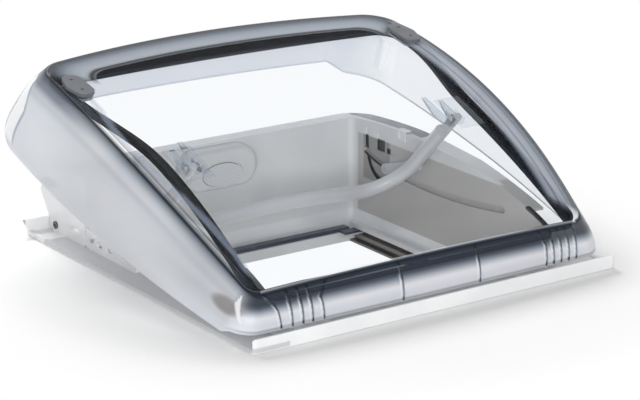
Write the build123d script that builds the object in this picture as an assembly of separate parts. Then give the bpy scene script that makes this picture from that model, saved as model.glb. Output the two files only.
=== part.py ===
from build123d import *
import os
from math import atan2, cos, degrees, radians, sin

# Roof window for a caravan: a frame in a 400 x 400 mm cut-out, a clear dome hinged along the
# front, and a bow handle whose guide pins run in tracks of the shaft walls.
# Millimetres. X to the right, Y from the hinged front to the rear, Z up.
# The origin is the centre of the cut-out on the roof's outer surface.

# Roof and clearances
ROOF_THICKNESS = 30.0
FIT = 0.3
BOND = 0.05
RUNNING_GAP = 0.6
FAR = 300.0

# Outer frame: its border runs round the shaft's walls
FLANGE_BORDER_X = 49.0
FLANGE_BORDER_Y = 46.0
FLANGE_PLATE = 3.5
FLANGE_CORNER = 6.0
FLANGE_LIP_HEIGHT = 16.0
FLANGE_LIP_WALL = 2.6
FLANGE_LIP_CORNER = 5.0
BEAD_HEIGHT = 5.2
BEAD_WIDTH = 5.0
BEAD_END_GAP = 4.0
REAR_UPSTAND_HEIGHT = 19.0
REAR_UPSTAND_FLARE = 6.0
ROOF_SEAL_THICKNESS = 1.6
ROOF_SEAL_WIDTH = 18.0
ROOF_SEAL_INSET = 12.0
ROOF_SEAL_CORNER = 20.0

# Shaft collar
SHAFT_HALF_X = 190.0
SHAFT_HALF_Y = 193.0
SHAFT_SIDE_WALL = 6.0
SHAFT_END_WALL = 4.0
SHAFT_CORNER = 8.0
COLLAR_FOOT = 6.4
COLLAR_FOOT_THICKNESS = 2.5
COLLAR_TOP = [
    (-200, 34), (-186, 42), (-143, 59), (-103, 70.5), (-64, 78), (11, 86), (70, 91), (110, 91.5), (200, 87)
]
WALL_STOCK_TOP = 130.0
WALL_HALF_X = SHAFT_HALF_X + SHAFT_SIDE_WALL
WALL_HALF_Y = SHAFT_HALF_Y + SHAFT_END_WALL
WALL_CORNER = SHAFT_CORNER + SHAFT_SIDE_WALL
FLANGE_HALF_X = WALL_HALF_X + FLANGE_BORDER_X
FLANGE_HALF_Y = WALL_HALF_Y + FLANGE_BORDER_Y
RIM_REACH = 19.0
RIM_THICKNESS = 3.0
RIM_BELOW_PANE = 15.5
RIM_FRONT = -150.0
FRONT_TRIM_HEIGHT = 2.5
FRONT_TRIM_REAR = -148.0
SKIRT_BELOW_ROOF = 12.0
SKIRT_WALL = 2.6

# Slot, niches and clips of the side walls, at places in (Y, Z)
J_SLOT = [(161, 80), (160, 52), (151, 31), (125, 20)]
J_SLOT_HALF = 3.5
J_SLOT_DEPTH = 2.0
NICHES = [(124, 140, 57, 80), (106, 120, 57, 64)]
NICHE_DEPTH = 1.5
CLIP_Y = 89.0
CLIP_HALF = 9.0
CLIP_TOP = 93.7
CLIP_SHEET = 1.6
CLIP_DROP = 13.5
CLIP_PROUD = 2.5
CLIP_SLOT_HALF = 3.0
CLIP_SLOT_DEPTH = 1.2

# Ceiling frame with the blinds
CEILING_BORDER = 45.0
CEILING_HALF = max(SHAFT_HALF_X, SHAFT_HALF_Y) + CEILING_BORDER
CEILING_DEPTH = 45.0
CEILING_WALL = 3.0
CEILING_CORNER = 22.0
TRIM_HOLE_INSET = 18.0
TRIM_HOLE_RADIUS = 2.25
TRIM_BOSS_RADIUS = 5.0
TRIM_BOSS_HEIGHT = 10.0
BLACKOUT_SLOT_Z = -55.0
SCREEN_SLOT_Z = -66.0
SLOT_HEIGHT = 6.0
SHELF_SHEET = 1.6
BLIND_SIDE_GAP = 14.0
BLIND_HALF_WIDTH = SHAFT_HALF_X - BLIND_SIDE_GAP
BLIND_BAR_DEPTH = 13.0
BLIND_BAR_HEIGHT = 8.0
BLIND_BAR_PARK_GAP = 2.0
PLEAT_COUNT = 9
PLEAT_PITCH = 2.4
PLEAT_SHEET = 0.5
PLEAT_SIDE_GAP = 10.0
PLEAT_WALL_GAP = 1.5
PLEAT_SLOT_GAP = 0.4
RAIL_WIDTH = 9.0
RAIL_WALL = 1.6
RAIL_TOP_Z = -46.0
RAIL_BOTTOM_Z = -72.0

# Ceiling clamps
CLAMP_COUNT = 3
CLAMP_SPACING = 130.0
CLAMP_WIDTH = 24.0
CLAMP_REACH = 26.0
CLAMP_LEG = 12.0
CLAMP_SHEET = 2.0
CLAMP_SCREW_RADIUS = 2.0
CLAMP_HEAD_RADIUS = 3.6
CLAMP_HEAD_HEIGHT = 2.2

# Lock on the rear wall
LOCK_X = -18.0
LOCK_WIDTH = 104.0
LOCK_BOTTOM_Z = 34.0
LOCK_TOP_Z = 84.0
LOCK_DEPTH = 24.0
LOCK_WALL = 3.0
LOCK_RADIUS = 23.0
LOCK_EDGE = 8.0
BUTTON_HALF_WIDTH = 28.0
BUTTON_HALF_HEIGHT = 14.0
BUTTON_Z = 53.0
CRESCENT_RISE = 4.0
CRESCENT_DEPTH = 1.6
BUTTON_LENGTH = 11.0
BUTTON_TRAVEL = 3.0
SPRING_RADIUS = 4.0
SPRING_WIRE = 0.9
SPRING_TURNS = 4
SPRING_SEAT = 1.6
SEAT_BAR_HALF = 3.0
BUTTON_PROUD = 0.6
BUTTON_SKIN = 2.4
TONGUE_WIDTH = 20.0
TONGUE_DEPTH = 4.0
TONGUE_LENGTH = 11.0
TONGUE_PROUD = 2.5

# Hinge along the front, and how far the dome stands open
HINGE_AHEAD = 13.0
HINGE_Y = -WALL_HALF_Y - HINGE_AHEAD
HINGE_Z = 13.0
OPEN_ANGLE = 13.0
OPEN_MAX = 45.0
HINGE_PIN_RADIUS = 2.0
HINGE_PIN_CLEARANCE = 0.05
KNUCKLE_RADIUS = 4.4
KNUCKLE_WIDTH = 12.0
HINGE_BASE_SHEET = 2.0
LEAF_WIDTH = 22.0
HINGE_SPACING = 300.0
LEAF_TOP_Z = 31.0

# Dome pane, with the dome closed
PANE_BEHIND_HINGE = 10.0
PANE_FRONT_Y = HINGE_Y + PANE_BEHIND_HINGE
PANE_FRONT_Z = 50.1
PANE_BEHIND_SHAFT = 43.8
PANE_REAR_Y = WALL_HALF_Y + PANE_BEHIND_SHAFT
PANE_REAR_Z = 111.6
PANE_FRONT_BORDER = 34.5
PANE_REAR_BORDER = 51.5
PANE_FRONT_HALF = SHAFT_HALF_X + PANE_FRONT_BORDER
PANE_REAR_HALF = SHAFT_HALF_X + PANE_REAR_BORDER
PANE_SIDE_BOW = 17.6
PANE_ARCH = 24.5
PANE_FRONT_BOW = 3.5
PANE_REAR_BOW = 26.2
PANE_FRONT_CROWN = 6.7
PANE_FRONT_RADIUS = 12.0
PANE_REAR_RADIUS = 27.0
DOME_WALL = 3.0
PANE_GAP = 3.0
INNER_PANE = 2.0

# Dome skirt: its foot and its waist, with the dome closed
FOOT_Z = 8.0
FOOT_FRONT_BORDER = 56.0
FOOT_MID_BORDER = 84.0
FOOT_REAR_BORDER = 72.0
FOOT_AHEAD_OF_HINGE = 11.0
FOOT_BEHIND_FLANGE = 53.0
FOOT_FRONT_Y = HINGE_Y - FOOT_AHEAD_OF_HINGE
FOOT_FRONT_HALF = SHAFT_HALF_X + FOOT_FRONT_BORDER
FOOT_MID_HALF = SHAFT_HALF_X + FOOT_MID_BORDER
FOOT_REAR_HALF = SHAFT_HALF_X + FOOT_REAR_BORDER
FOOT_REAR_Y = FLANGE_HALF_Y + FOOT_BEHIND_FLANGE
FOOT_REAR_BOW = 10.0
FOOT_FRONT_RADIUS = 24.0
FOOT_REAR_RADIUS = 55.0
WAIST_Z = 60.0
WAIST_BULGE = 8.0
WAIST_REAR_BULGE = 12.0
FRONT_FOOT_LIFT = 3.5
FRONT_LIFT_REACH = 12.0
REAR_FOOT_LIFT = 16.0
REAR_FOOT_INSET = 56.0
REAR_FOOT_HALF = FOOT_REAR_HALF - REAR_FOOT_INSET
REAR_FOOT_SLOPE = 34.0

# Seal ring under the pane, dome closed: reach beyond the shaft at places along the depth
SEAL_FRONT_INSET = 3.5
SEAL_REAR_INSET = 8.8
SEAL_SIDE = [
    (30, PANE_FRONT_Y + SEAL_FRONT_INSET), (28, -116), (27, -10), (30, 41), (38, 80), (49, 130),
    (47, PANE_REAR_Y - SEAL_REAR_INSET)
]
SEAL_REAR_BOW = 5.0
SEAL_FRONT_SHARE = 0.35
SEAL_REAR_SHARE = 2.2
SEAL_FRONT_RADIUS = 14.0
SEAL_REAR_RADIUS = 30.0
SEAL_WIDTH = 12.0
SEAL_HEIGHT = 5.0
SPACER_WIDTH = 4.0

# Caps, dome closed, placed from the pane's rear corners
CAP_OUTLINE = [(-5.0, -40.8), (-25.0, -44.8), (-25.0, -91.8), (-4.0, -94.8), (1.5, -68.8)]
CAP_HEIGHT = 4.0
CAP_RADIUS = 9.5
CAP_SCREW_RADIUS = 1.9
CAP_SCREW_AHEAD = (80.8, 54.8)
CAP_SCREW_INSET = 12.0
CAP_HEAD_SUNK = 0.6
CAP_PAD_INSET = 1.5
BOSS_BORDER = 45.0
BOSS_X = SHAFT_HALF_X + BOSS_BORDER
BOSS_Y = 22.0
BOSS_RADIUS = 6.0
BOSS_LENGTH = 6.0

# Bow handle
PIVOT_FROM_HINGE_Y = 184.0
PIVOT_FROM_HINGE_Z = 124.0
BOW_SIDE_GAP = 12.0
BOW_HALF = SHAFT_HALF_X - BOW_SIDE_GAP
BOW_LENGTH = 168.0
BOW_DROP = 44.7
BOW_BAR_CROWN = 38.0
BOW_CORNER_RADIUS = 52.0
BOW_CROWN_RADIUS = 600.0
BOW_HALF_THICK = 8.25
BOW_HALF_WIDE = 9.3
TANG_THICKNESS = 9.2
TANG_RADIUS = 4.8
TANG_LENGTH = 28.0
TANG_SIDE_GAP = 3.4
TANG_OUTER = SHAFT_HALF_X - TANG_SIDE_GAP
PIVOT_RADIUS = 2.5
PIVOT_CLEARANCE = 0.06
BOW_RATIO = -2.6
PIN_REACH = 173.8
PIN_RISE = 10.2
PIN_RADIUS = 3.0
PIN_LUG_THICKNESS = 3.0
PIN_LUG_RADIUS = 6.5
PIN_LUG_ROOT = 112.0
TRACK_DEPTH = 4.6
TRACK_CLEARANCE = 1.1
TRACK_STEPS = 18

# Clear brackets that carry the bow
BRACKET_REACH_IN = 17.6
BRACKET_REACH_OUT = 17.4
BRACKET_INNER = TANG_OUTER - BRACKET_REACH_IN
BRACKET_OUTER = TANG_OUTER + BRACKET_REACH_OUT
BRACKET_LENGTH = 56.0
BRACKET_BASE = 2.4
FIN_THICKNESS = 3.2
SMALL_FIN_THICKNESS = 2.2
FIN_RADIUS = 9.0
WINDOW_GAP = 1.0

# Plates on the flange beside the shaft, with outlines in (Y, Z)
HOUSING_X = WALL_HALF_X + COLLAR_FOOT + RUNNING_GAP
HOUSING_DEPTH = 14.0
HOUSING_WALL = 2.4
HOUSING_OUTLINE = [
    (229, FLANGE_PLATE), (237, 9), (239, 18), (244, 25), (259, 48),
    (254, 55), (176, 49), (156, 33), (152, FLANGE_PLATE)
]
BUMPER_OUTLINE = [(238, 55), (258, 56), (262, 60), (240, 58)]
HOUSING_SCREW = (223, 12)
HOUSING_SLOT = (178, 18)
HOUSING_SLOT_HALF_Y = 9.0
HOUSING_SLOT_HALF_Z = 2.5
HOUSING_CORE = (166, 233, 3, 44)
HOUSING_CORNER = 3.0
HOUSING_HEAD_RADIUS = 4.6
HOUSING_HEAD_HEIGHT = 1.6
HOUSING_DRIVE_RADIUS = 1.6
HOUSING_DRIVE_DEPTH = 1.0
HOUSING_SCREW_RADIUS = 2.6
BRACKET_PLATE = 3.0
BRACKET_OUTLINE = [
    (151, FLANGE_PLATE), (151, 27), (118, 24), (92, 19), (66, 10), (38, 8), (38, FLANGE_PLATE)
]
BRACKET_CORNER = 1.5
BRACKET_FOOT = (40, 148)
BRACKET_CUTS = [
    [(147, 11), (143, 17), (131, 19), (135, 12)],
    [(126, 11), (126, 19), (121, 19), (121, 14.5), (114, 14.5), (114, 11)],
    [(106, 11), (104, 18), (88, 11)],
]


def side_shape(points, x, thickness, radius=0.0):
    """A plate across X, from an outline in (Y, Z)."""
    face = make_face(Polyline(*points, close=True))
    if radius:
        face = fillet(face.vertices(), radius)
    return extrude(Plane.YZ.offset(x) * face, amount=thickness)


def block(x0, x1, y0, y1, z0, z1):
    return Pos((x0 + x1) / 2, (y0 + y1) / 2, (z0 + z1) / 2) * Box(abs(x1 - x0), abs(y1 - y0), abs(z1 - z0))


def round_block(half_x, half_y, z0, z1, radius):
    return Pos(0, 0, z0) * extrude(RectangleRounded(2 * half_x, 2 * half_y, radius), z1 - z0)


def round_ring(half_x, half_y, z0, z1, radius, wall_x, wall_y):
    hole = round_block(half_x - wall_x, half_y - wall_y, z0 - 1, z1 + 1, max(radius - wall_x, 1))
    return round_block(half_x, half_y, z0, z1, radius) - hole


def rod_x(x0, x1, y, z, radius):
    return Pos((x0 + x1) / 2, y, z) * Rot(0, 90, 0) * Cylinder(radius, abs(x1 - x0))


def rod_y(x, y0, y1, z, radius):
    return Pos(x, (y0 + y1) / 2, z) * Rot(90, 0, 0) * Cylinder(radius, abs(y1 - y0))


def left_of(shape):
    return mirror(shape, about=Plane.YZ)


def at_rest(shape):
    """Turns a piece of the dome from closed to the angle at which it stands open."""
    return shape.rotate(Axis((0, HINGE_Y, HINGE_Z), (1, 0, 0)), OPEN_ANGLE)


def turned(y, z, angle):
    """A point of the side view, turned about the hinge."""
    turn = radians(angle)
    from_y = y - HINGE_Y
    from_z = z - HINGE_Z
    return (
        HINGE_Y + from_y * cos(turn) - from_z * sin(turn),
        HINGE_Z + from_y * sin(turn) + from_z * cos(turn),
    )


# Pane surface

def pane_point(across, along):
    """A point of the closed dome's outer face: across runs -1 to 1, along 0 at the front to 1."""
    run = PANE_REAR_Y - PANE_FRONT_Y
    rise = PANE_REAR_Z - PANE_FRONT_Z
    slope = atan2(rise, run)
    hump = 4 * along * (1 - along)
    middle = 1 - across * across
    half = PANE_FRONT_HALF + (PANE_REAR_HALF - PANE_FRONT_HALF) * along + PANE_SIDE_BOW * hump
    y = PANE_FRONT_Y + run * along - sin(slope) * PANE_ARCH * hump
    y += middle * (PANE_REAR_BOW * along - PANE_FRONT_BOW * (1 - along))
    z = PANE_FRONT_Z + rise * along + cos(slope) * PANE_ARCH * hump
    z += middle * PANE_FRONT_CROWN * (1 - along)
    return (across * half, y, z)


def pane_top():
    """Everything above the closed dome's outer face."""
    across = [-1.25 + 0.25 * i for i in range(11)]
    along = [-0.16 + 0.12 * i for i in range(12)]
    grid = [[pane_point(s, t) for t in along] for s in across]
    face = Face.make_surface_from_array_of_points(grid)
    return Solid.extrude(face, Vector(0, 0, FAR / 2))


PANE_ABOVE = pane_top()


def above_pane(depth):
    return Pos(0, 0, -depth) * PANE_ABOVE


def layer(shape, top_depth, bottom_depth):
    """The part of a shape between two depths below the pane's outer face."""
    return (shape & above_pane(bottom_depth)) - above_pane(top_depth)


def pane_height(x, y):
    """Height of the closed dome's outer face over a point of the plan."""
    along = (y - PANE_FRONT_Y) / (PANE_REAR_Y - PANE_FRONT_Y)
    for _ in range(12):
        point = pane_point(0, along)
        half = pane_point(1, along)[0]
        across = x / half
        point = pane_point(across, along)
        along += (y - point[1]) / (PANE_REAR_Y - PANE_FRONT_Y)
    return point[2]


# Dome skirt

def through(z, points):
    """The parabola through three (height, value) points, read at a height."""
    total = 0.0
    for i, (zi, vi) in enumerate(points):
        share = vi
        for j, (zj, _) in enumerate(points):
            if i != j:
                share *= (z - zj) / (zi - zj)
        total += share
    return total


def skirt_station(z, inset=0.0):
    """The skirt's outline at a height, drawn in by an inset."""
    crease_mid, _, mid_z = pane_point(1, 0.5)
    share = (z - FOOT_Z) / (PANE_FRONT_Z - FOOT_Z)
    front_y = FOOT_FRONT_Y + share * (PANE_FRONT_Y - FOOT_FRONT_Y) + inset
    front_half = FOOT_FRONT_HALF + share * (PANE_FRONT_HALF - FOOT_FRONT_HALF) - inset
    waist_share = (WAIST_Z - FOOT_Z) / (mid_z - FOOT_Z)
    waist_mid = FOOT_MID_HALF + waist_share * (crease_mid - FOOT_MID_HALF) + WAIST_BULGE
    mid = through(z, [(FOOT_Z, FOOT_MID_HALF), (WAIST_Z, waist_mid), (mid_z, crease_mid)]) - inset
    rear_share = (WAIST_Z - FOOT_Z) / (PANE_REAR_Z - FOOT_Z)
    waist_rear = FOOT_REAR_Y + rear_share * (PANE_REAR_Y - FOOT_REAR_Y) + WAIST_REAR_BULGE
    rear_y = through(z, [(FOOT_Z, FOOT_REAR_Y), (WAIST_Z, waist_rear), (PANE_REAR_Z, PANE_REAR_Y)]) - inset
    waist_half = FOOT_REAR_HALF + rear_share * (PANE_REAR_HALF - FOOT_REAR_HALF) + WAIST_REAR_BULGE
    rear_half = through(
        z, [(FOOT_Z, FOOT_REAR_HALF), (WAIST_Z, waist_half), (PANE_REAR_Z, PANE_REAR_HALF)]
    ) - inset
    rise = (z - FOOT_Z) / (PANE_REAR_Z - FOOT_Z)
    bow = FOOT_REAR_BOW + rise * (PANE_REAR_BOW - FOOT_REAR_BOW)
    front_radius = FOOT_FRONT_RADIUS + min(share, 1.5) * (PANE_FRONT_RADIUS - FOOT_FRONT_RADIUS) - inset
    rear_radius = FOOT_REAR_RADIUS + rise * (PANE_REAR_RADIUS - FOOT_REAR_RADIUS) - inset
    mid_y = (front_y + rear_y) / 2
    edges = [
        ThreePointArc((-front_half, front_y), (0, front_y - PANE_FRONT_BOW / 2), (front_half, front_y)),
        ThreePointArc((front_half, front_y), (mid, mid_y), (rear_half, rear_y)),
        ThreePointArc((rear_half, rear_y), (0, rear_y + bow), (-rear_half, rear_y)),
        ThreePointArc((-rear_half, rear_y), (-mid, mid_y), (-front_half, front_y)),
    ]
    face = make_face(edges)
    front = [v for v in face.vertices() if v.Y < mid_y]
    face = fillet(front, max(front_radius, 2))
    rear = [v for v in face.vertices() if v.Y > mid_y]
    face = fillet(rear, max(rear_radius, 4))
    return Pos(0, 0, z) * face


def dome_body(inset, low_z):
    """The dome as a filled block: the skirt's loft, cut off by the pane."""
    top_z = PANE_REAR_Z + 12
    mid_z = (WAIST_Z + top_z) / 2
    stations = [skirt_station(z, inset) for z in (low_z, WAIST_Z, mid_z, top_z)]
    return loft(stations) - above_pane(inset)


DOME_OUTSIDE = dome_body(0, FOOT_Z)
DOME_INSIDE = dome_body(DOME_WALL, FOOT_Z - 1)


def outer_dome():
    shell = DOME_OUTSIDE - DOME_INSIDE
    front_y = FOOT_FRONT_Y + FRONT_LIFT_REACH
    shell -= block(-FAR, FAR, -FAR, front_y, FOOT_Z - 2, FOOT_Z + FRONT_FOOT_LIFT)
    relief_y = FOOT_REAR_Y - FOOT_REAR_RADIUS / 2
    far_y = FOOT_REAR_Y + FOOT_REAR_RADIUS
    low = REAR_FOOT_HALF + REAR_FOOT_SLOPE
    face = make_face(Polyline(
        (-low, FOOT_Z - 2),
        (low, FOOT_Z - 2),
        (REAR_FOOT_HALF, FOOT_Z + REAR_FOOT_LIFT),
        (-REAR_FOOT_HALF, FOOT_Z + REAR_FOOT_LIFT),
        close=True,
    ))
    top = [v for v in face.vertices() if v.Z > FOOT_Z or v.Y > FOOT_Z]
    face = fillet(top, REAR_FOOT_SLOPE)
    relief = Pos(0, far_y, 0) * extrude(Plane.XZ * face, amount=far_y - relief_y)
    return shell - relief


# Glazing under the outer pane

GLAZING_SPACE = dome_body(DOME_WALL + BOND, FOOT_Z - 1)


def seal_outline(inset):
    right = [(SHAFT_HALF_X + x - inset, y) for x, y in SEAL_SIDE]
    front_y = SEAL_SIDE[0][1] + SEAL_FRONT_SHARE * inset
    rear_y = SEAL_SIDE[-1][1] - SEAL_REAR_SHARE * inset
    right[0] = (right[0][0], front_y)
    right[-1] = (right[-1][0], rear_y)
    left = [(-x, y) for x, y in reversed(right)]
    face = make_face([
        ThreePointArc(left[-1], (0, front_y - PANE_FRONT_BOW), right[0]),
        Spline(*right),
        ThreePointArc(right[-1], (0, rear_y + SEAL_REAR_BOW), left[0]),
        Spline(*left),
    ])
    front = [v for v in face.vertices() if v.Y < 0]
    face = fillet(front, SEAL_FRONT_RADIUS - inset / 2)
    rear = [v for v in face.vertices() if v.Y > rear_y - 1 and abs(v.X) > right[-1][0] - 1]
    return fillet(rear, SEAL_REAR_RADIUS - inset / 2)


def seal_prism(inset):
    return extrude(seal_outline(inset), amount=FAR) & GLAZING_SPACE


GAP_TOP = DOME_WALL + BOND
GAP_BOTTOM = DOME_WALL + PANE_GAP - BOND
INNER_TOP = DOME_WALL + PANE_GAP
INNER_BOTTOM = INNER_TOP + INNER_PANE


def bracket_window(side):
    inner = side * (BRACKET_INNER - WINDOW_GAP)
    outer = side * (BRACKET_OUTER + WINDOW_GAP)
    half = BRACKET_LENGTH / 2 + WINDOW_GAP
    return block(inner, outer, PIVOT_Y - half, PIVOT_Y + half, 0, FAR)


def inner_pane():
    sheet = layer(seal_prism(0), INNER_TOP, INNER_BOTTOM)
    return sheet - bracket_window(1) - bracket_window(-1)


def pane_spacer():
    return layer(seal_prism(0) - seal_prism(SPACER_WIDTH), GAP_TOP, GAP_BOTTOM)


def dome_seal():
    return layer(seal_prism(0) - seal_prism(SEAL_WIDTH), INNER_BOTTOM + BOND, INNER_BOTTOM + SEAL_HEIGHT)


def cap_prism(inset=0.0):
    outline = [(PANE_REAR_HALF + x, PANE_REAR_Y + y) for x, y in CAP_OUTLINE]
    face = make_face(Polyline(*outline, close=True))
    face = fillet(face.vertices(), CAP_RADIUS)
    if inset:
        face = offset(face, amount=-inset)
    return extrude(face, amount=FAR)


def cap_rods(radius):
    x = PANE_REAR_HALF - CAP_SCREW_INSET
    return [Pos(x, PANE_REAR_Y - ahead, FAR / 2) * Cylinder(radius, FAR) for ahead in CAP_SCREW_AHEAD]


def cap():
    shape = layer(cap_prism(), -CAP_HEIGHT, -BOND)
    for rod in cap_rods(CAP_SCREW_RADIUS + FIT / 3):
        shape -= rod
    return shape


def cap_pad():
    return layer(cap_prism(CAP_PAD_INSET) & seal_prism(SPACER_WIDTH + FIT), GAP_TOP, GAP_BOTTOM)


def cap_screws():
    return [layer(rod, -CAP_HEIGHT + CAP_HEAD_SUNK, -BOND) for rod in cap_rods(CAP_SCREW_RADIUS)]


def dome_boss():
    foot = pane_height(BOSS_X, BOSS_Y) - DOME_WALL
    rod = Pos(BOSS_X, BOSS_Y, foot - BOSS_LENGTH / 2) * Cylinder(BOSS_RADIUS, BOSS_LENGTH + 8)
    hole = Pos(BOSS_X, BOSS_Y, foot - BOSS_LENGTH) * Cylinder(BOSS_RADIUS / 2, BOSS_LENGTH)
    return (rod - hole) & GLAZING_SPACE


# Bow handle and its pivots

PIVOT_REST_Y = HINGE_Y + PIVOT_FROM_HINGE_Y
PIVOT_REST_Z = HINGE_Z + PIVOT_FROM_HINGE_Z
PIVOT_Y, PIVOT_Z = turned(PIVOT_REST_Y, PIVOT_REST_Z, -OPEN_ANGLE)


def in_bow(shape):
    """Places a piece drawn along +Y from the pivot onto the bow at rest."""
    return Pos(0, PIVOT_REST_Y, PIVOT_REST_Z) * Rot(-BOW_DROP, 0, 0) * shape


def pin_place():
    """The guide pin's centre, drawn along +Y from the pivot."""
    rise = radians(PIN_RISE)
    return PIN_REACH * cos(rise), PIN_REACH * sin(rise)


def bow_side(side):
    """The flattened end of an arm and the lug of its guide pin."""
    inner = side * (TANG_OUTER - TANG_THICKNESS)
    outer = side * TANG_OUTER
    tang = block(inner, outer, 0, TANG_LENGTH + 14, -TANG_RADIUS, TANG_RADIUS)
    tang += rod_x(inner, outer, 0, 0, TANG_RADIUS)
    tang -= rod_x(inner - side, outer + side, 0, 0, PIVOT_RADIUS + PIVOT_CLEARANCE)
    pin_y, pin_z = pin_place()
    lug_x = side * (SHAFT_HALF_X - RUNNING_GAP)
    lug_in = lug_x - side * (PIN_LUG_THICKNESS + 2)
    span = Vector(0, PIN_LUG_ROOT - pin_y, -pin_z)
    lug = rod_x(lug_in, lug_x, pin_y, pin_z, PIN_LUG_RADIUS)
    lug += rod_x(lug_in, lug_x, PIN_LUG_ROOT, 0, PIN_LUG_RADIUS)
    bar = Rot(degrees(atan2(span.Z, span.Y)), 0, 0) * Box(
        PIN_LUG_THICKNESS + 2, span.length, 2 * PIN_LUG_RADIUS
    )
    lug += Pos((lug_in + lug_x) / 2, pin_y + span.Y / 2, pin_z + span.Z / 2) * bar
    lug -= rod_x(lug_in - side, lug_x + side, pin_y, pin_z, PIN_RADIUS + HINGE_PIN_CLEARANCE)
    return tang, lug


def bow_handle():
    path = FilletPolyline(
        (BOW_HALF, TANG_LENGTH),
        (BOW_HALF, BOW_LENGTH),
        (0, BOW_LENGTH - BOW_BAR_CROWN),
        (-BOW_HALF, BOW_LENGTH),
        (-BOW_HALF, TANG_LENGTH),
        radius=[BOW_CORNER_RADIUS, BOW_CROWN_RADIUS, BOW_CORNER_RADIUS],
    )
    start = Plane(path @ 0, x_dir=(1, 0, 0), z_dir=path % 0)
    tube = sweep(start * Ellipse(BOW_HALF_WIDE, BOW_HALF_THICK), path)
    for side in (1, -1):
        tang, lug = bow_side(side)
        tube += tang
        tube += lug
    return in_bow(tube)


def guide_pin(side):
    pin_y, pin_z = pin_place()
    inner = side * (SHAFT_HALF_X - RUNNING_GAP - PIN_LUG_THICKNESS - 2)
    outer = side * (SHAFT_HALF_X + TRACK_DEPTH - RUNNING_GAP)
    return in_bow(rod_x(inner, outer, pin_y, pin_z, PIN_RADIUS))


def bow_bracket():
    """A clear base under the pane with two fins that hold the pivot."""
    length = BRACKET_LENGTH / 2
    plate = block(BRACKET_INNER, BRACKET_OUTER, PIVOT_Y - length, PIVOT_Y + length, 0, FAR)
    base = layer(plate, GAP_TOP, GAP_TOP + BRACKET_BASE)
    tall_outer = TANG_OUTER - TANG_THICKNESS - RUNNING_GAP
    small_inner = TANG_OUTER + RUNNING_GAP / 2
    fins = []
    spans = [(tall_outer - FIN_THICKNESS, tall_outer), (small_inner, small_inner + SMALL_FIN_THICKNESS)]
    for low, high in spans:
        fin = rod_x(low, high, PIVOT_Y, PIVOT_Z, FIN_RADIUS)
        fin += block(low, high, PIVOT_Y - FIN_RADIUS, PIVOT_Y + FIN_RADIUS, PIVOT_Z, PIVOT_Z + 30)
        fins.append(fin - above_pane(GAP_TOP + BRACKET_BASE / 2))
    body = base + fins[0] + fins[1]
    body -= rod_x(tall_outer - 5, small_inner + 5, PIVOT_Y, PIVOT_Z, PIVOT_RADIUS)
    return body


def bow_pivot(side):
    inner = side * (TANG_OUTER - TANG_THICKNESS - RUNNING_GAP - FIN_THICKNESS)
    outer = side * (TANG_OUTER + RUNNING_GAP / 2 + SMALL_FIN_THICKNESS)
    rod = rod_x(inner, outer, PIVOT_Y, PIVOT_Z, PIVOT_RADIUS)
    head = rod_x(inner - side * 1.5, inner, PIVOT_Y, PIVOT_Z, 1.8 * PIVOT_RADIUS)
    return rod + head


def pin_path():
    """The guide pin's centre for every angle of the dome, from closed to fully open."""
    places = []
    for step in range(TRACK_STEPS + 1):
        opening = -OPEN_ANGLE + OPEN_MAX * step / TRACK_STEPS
        y, z = turned(PIVOT_REST_Y, PIVOT_REST_Z, opening)
        drop = radians(BOW_DROP - PIN_RISE - (1 + BOW_RATIO) * opening)
        places.append((y + PIN_REACH * cos(drop), z - PIN_REACH * sin(drop)))
    return places


def groove(points, half_width, side, depth):
    """A groove in a side wall, along points of the side view."""
    inner = side * (SHAFT_HALF_X - 1)
    outer = side * (SHAFT_HALF_X + depth)
    path = Spline(*points)
    face = trace(path, line_width=2 * half_width)
    x = min(inner, outer)
    cut = extrude(Plane.YZ.offset(x) * face, amount=abs(outer - inner))
    for y, z in (points[0], points[-1]):
        cut += rod_x(inner, outer, y, z, half_width)
    return cut


# Shaft collar

def collar_profile(drop=0.0):
    """Everything below the collar's top line, as seen from the side."""
    top = [(y, z - drop) for y, z in COLLAR_TOP]
    edges = [
        Spline(*top),
        Polyline(top[-1], (FAR, top[-1][1]), (FAR, -FAR), (-FAR, -FAR), (-FAR, top[0][1] - 4), top[0]),
    ]
    return extrude(Plane.YZ.offset(-FAR) * make_face(edges), amount=2 * FAR)


BELOW_TOP = collar_profile()


def front_trim():
    ring = round_ring(
        WALL_HALF_X, WALL_HALF_Y, 0, WALL_STOCK_TOP, WALL_CORNER, SHAFT_SIDE_WALL, SHAFT_END_WALL
    )
    ring &= block(-FAR, FAR, -FAR, FRONT_TRIM_REAR, 0, WALL_STOCK_TOP)
    return (ring & BELOW_TOP) - collar_profile(FRONT_TRIM_HEIGHT)


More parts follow.
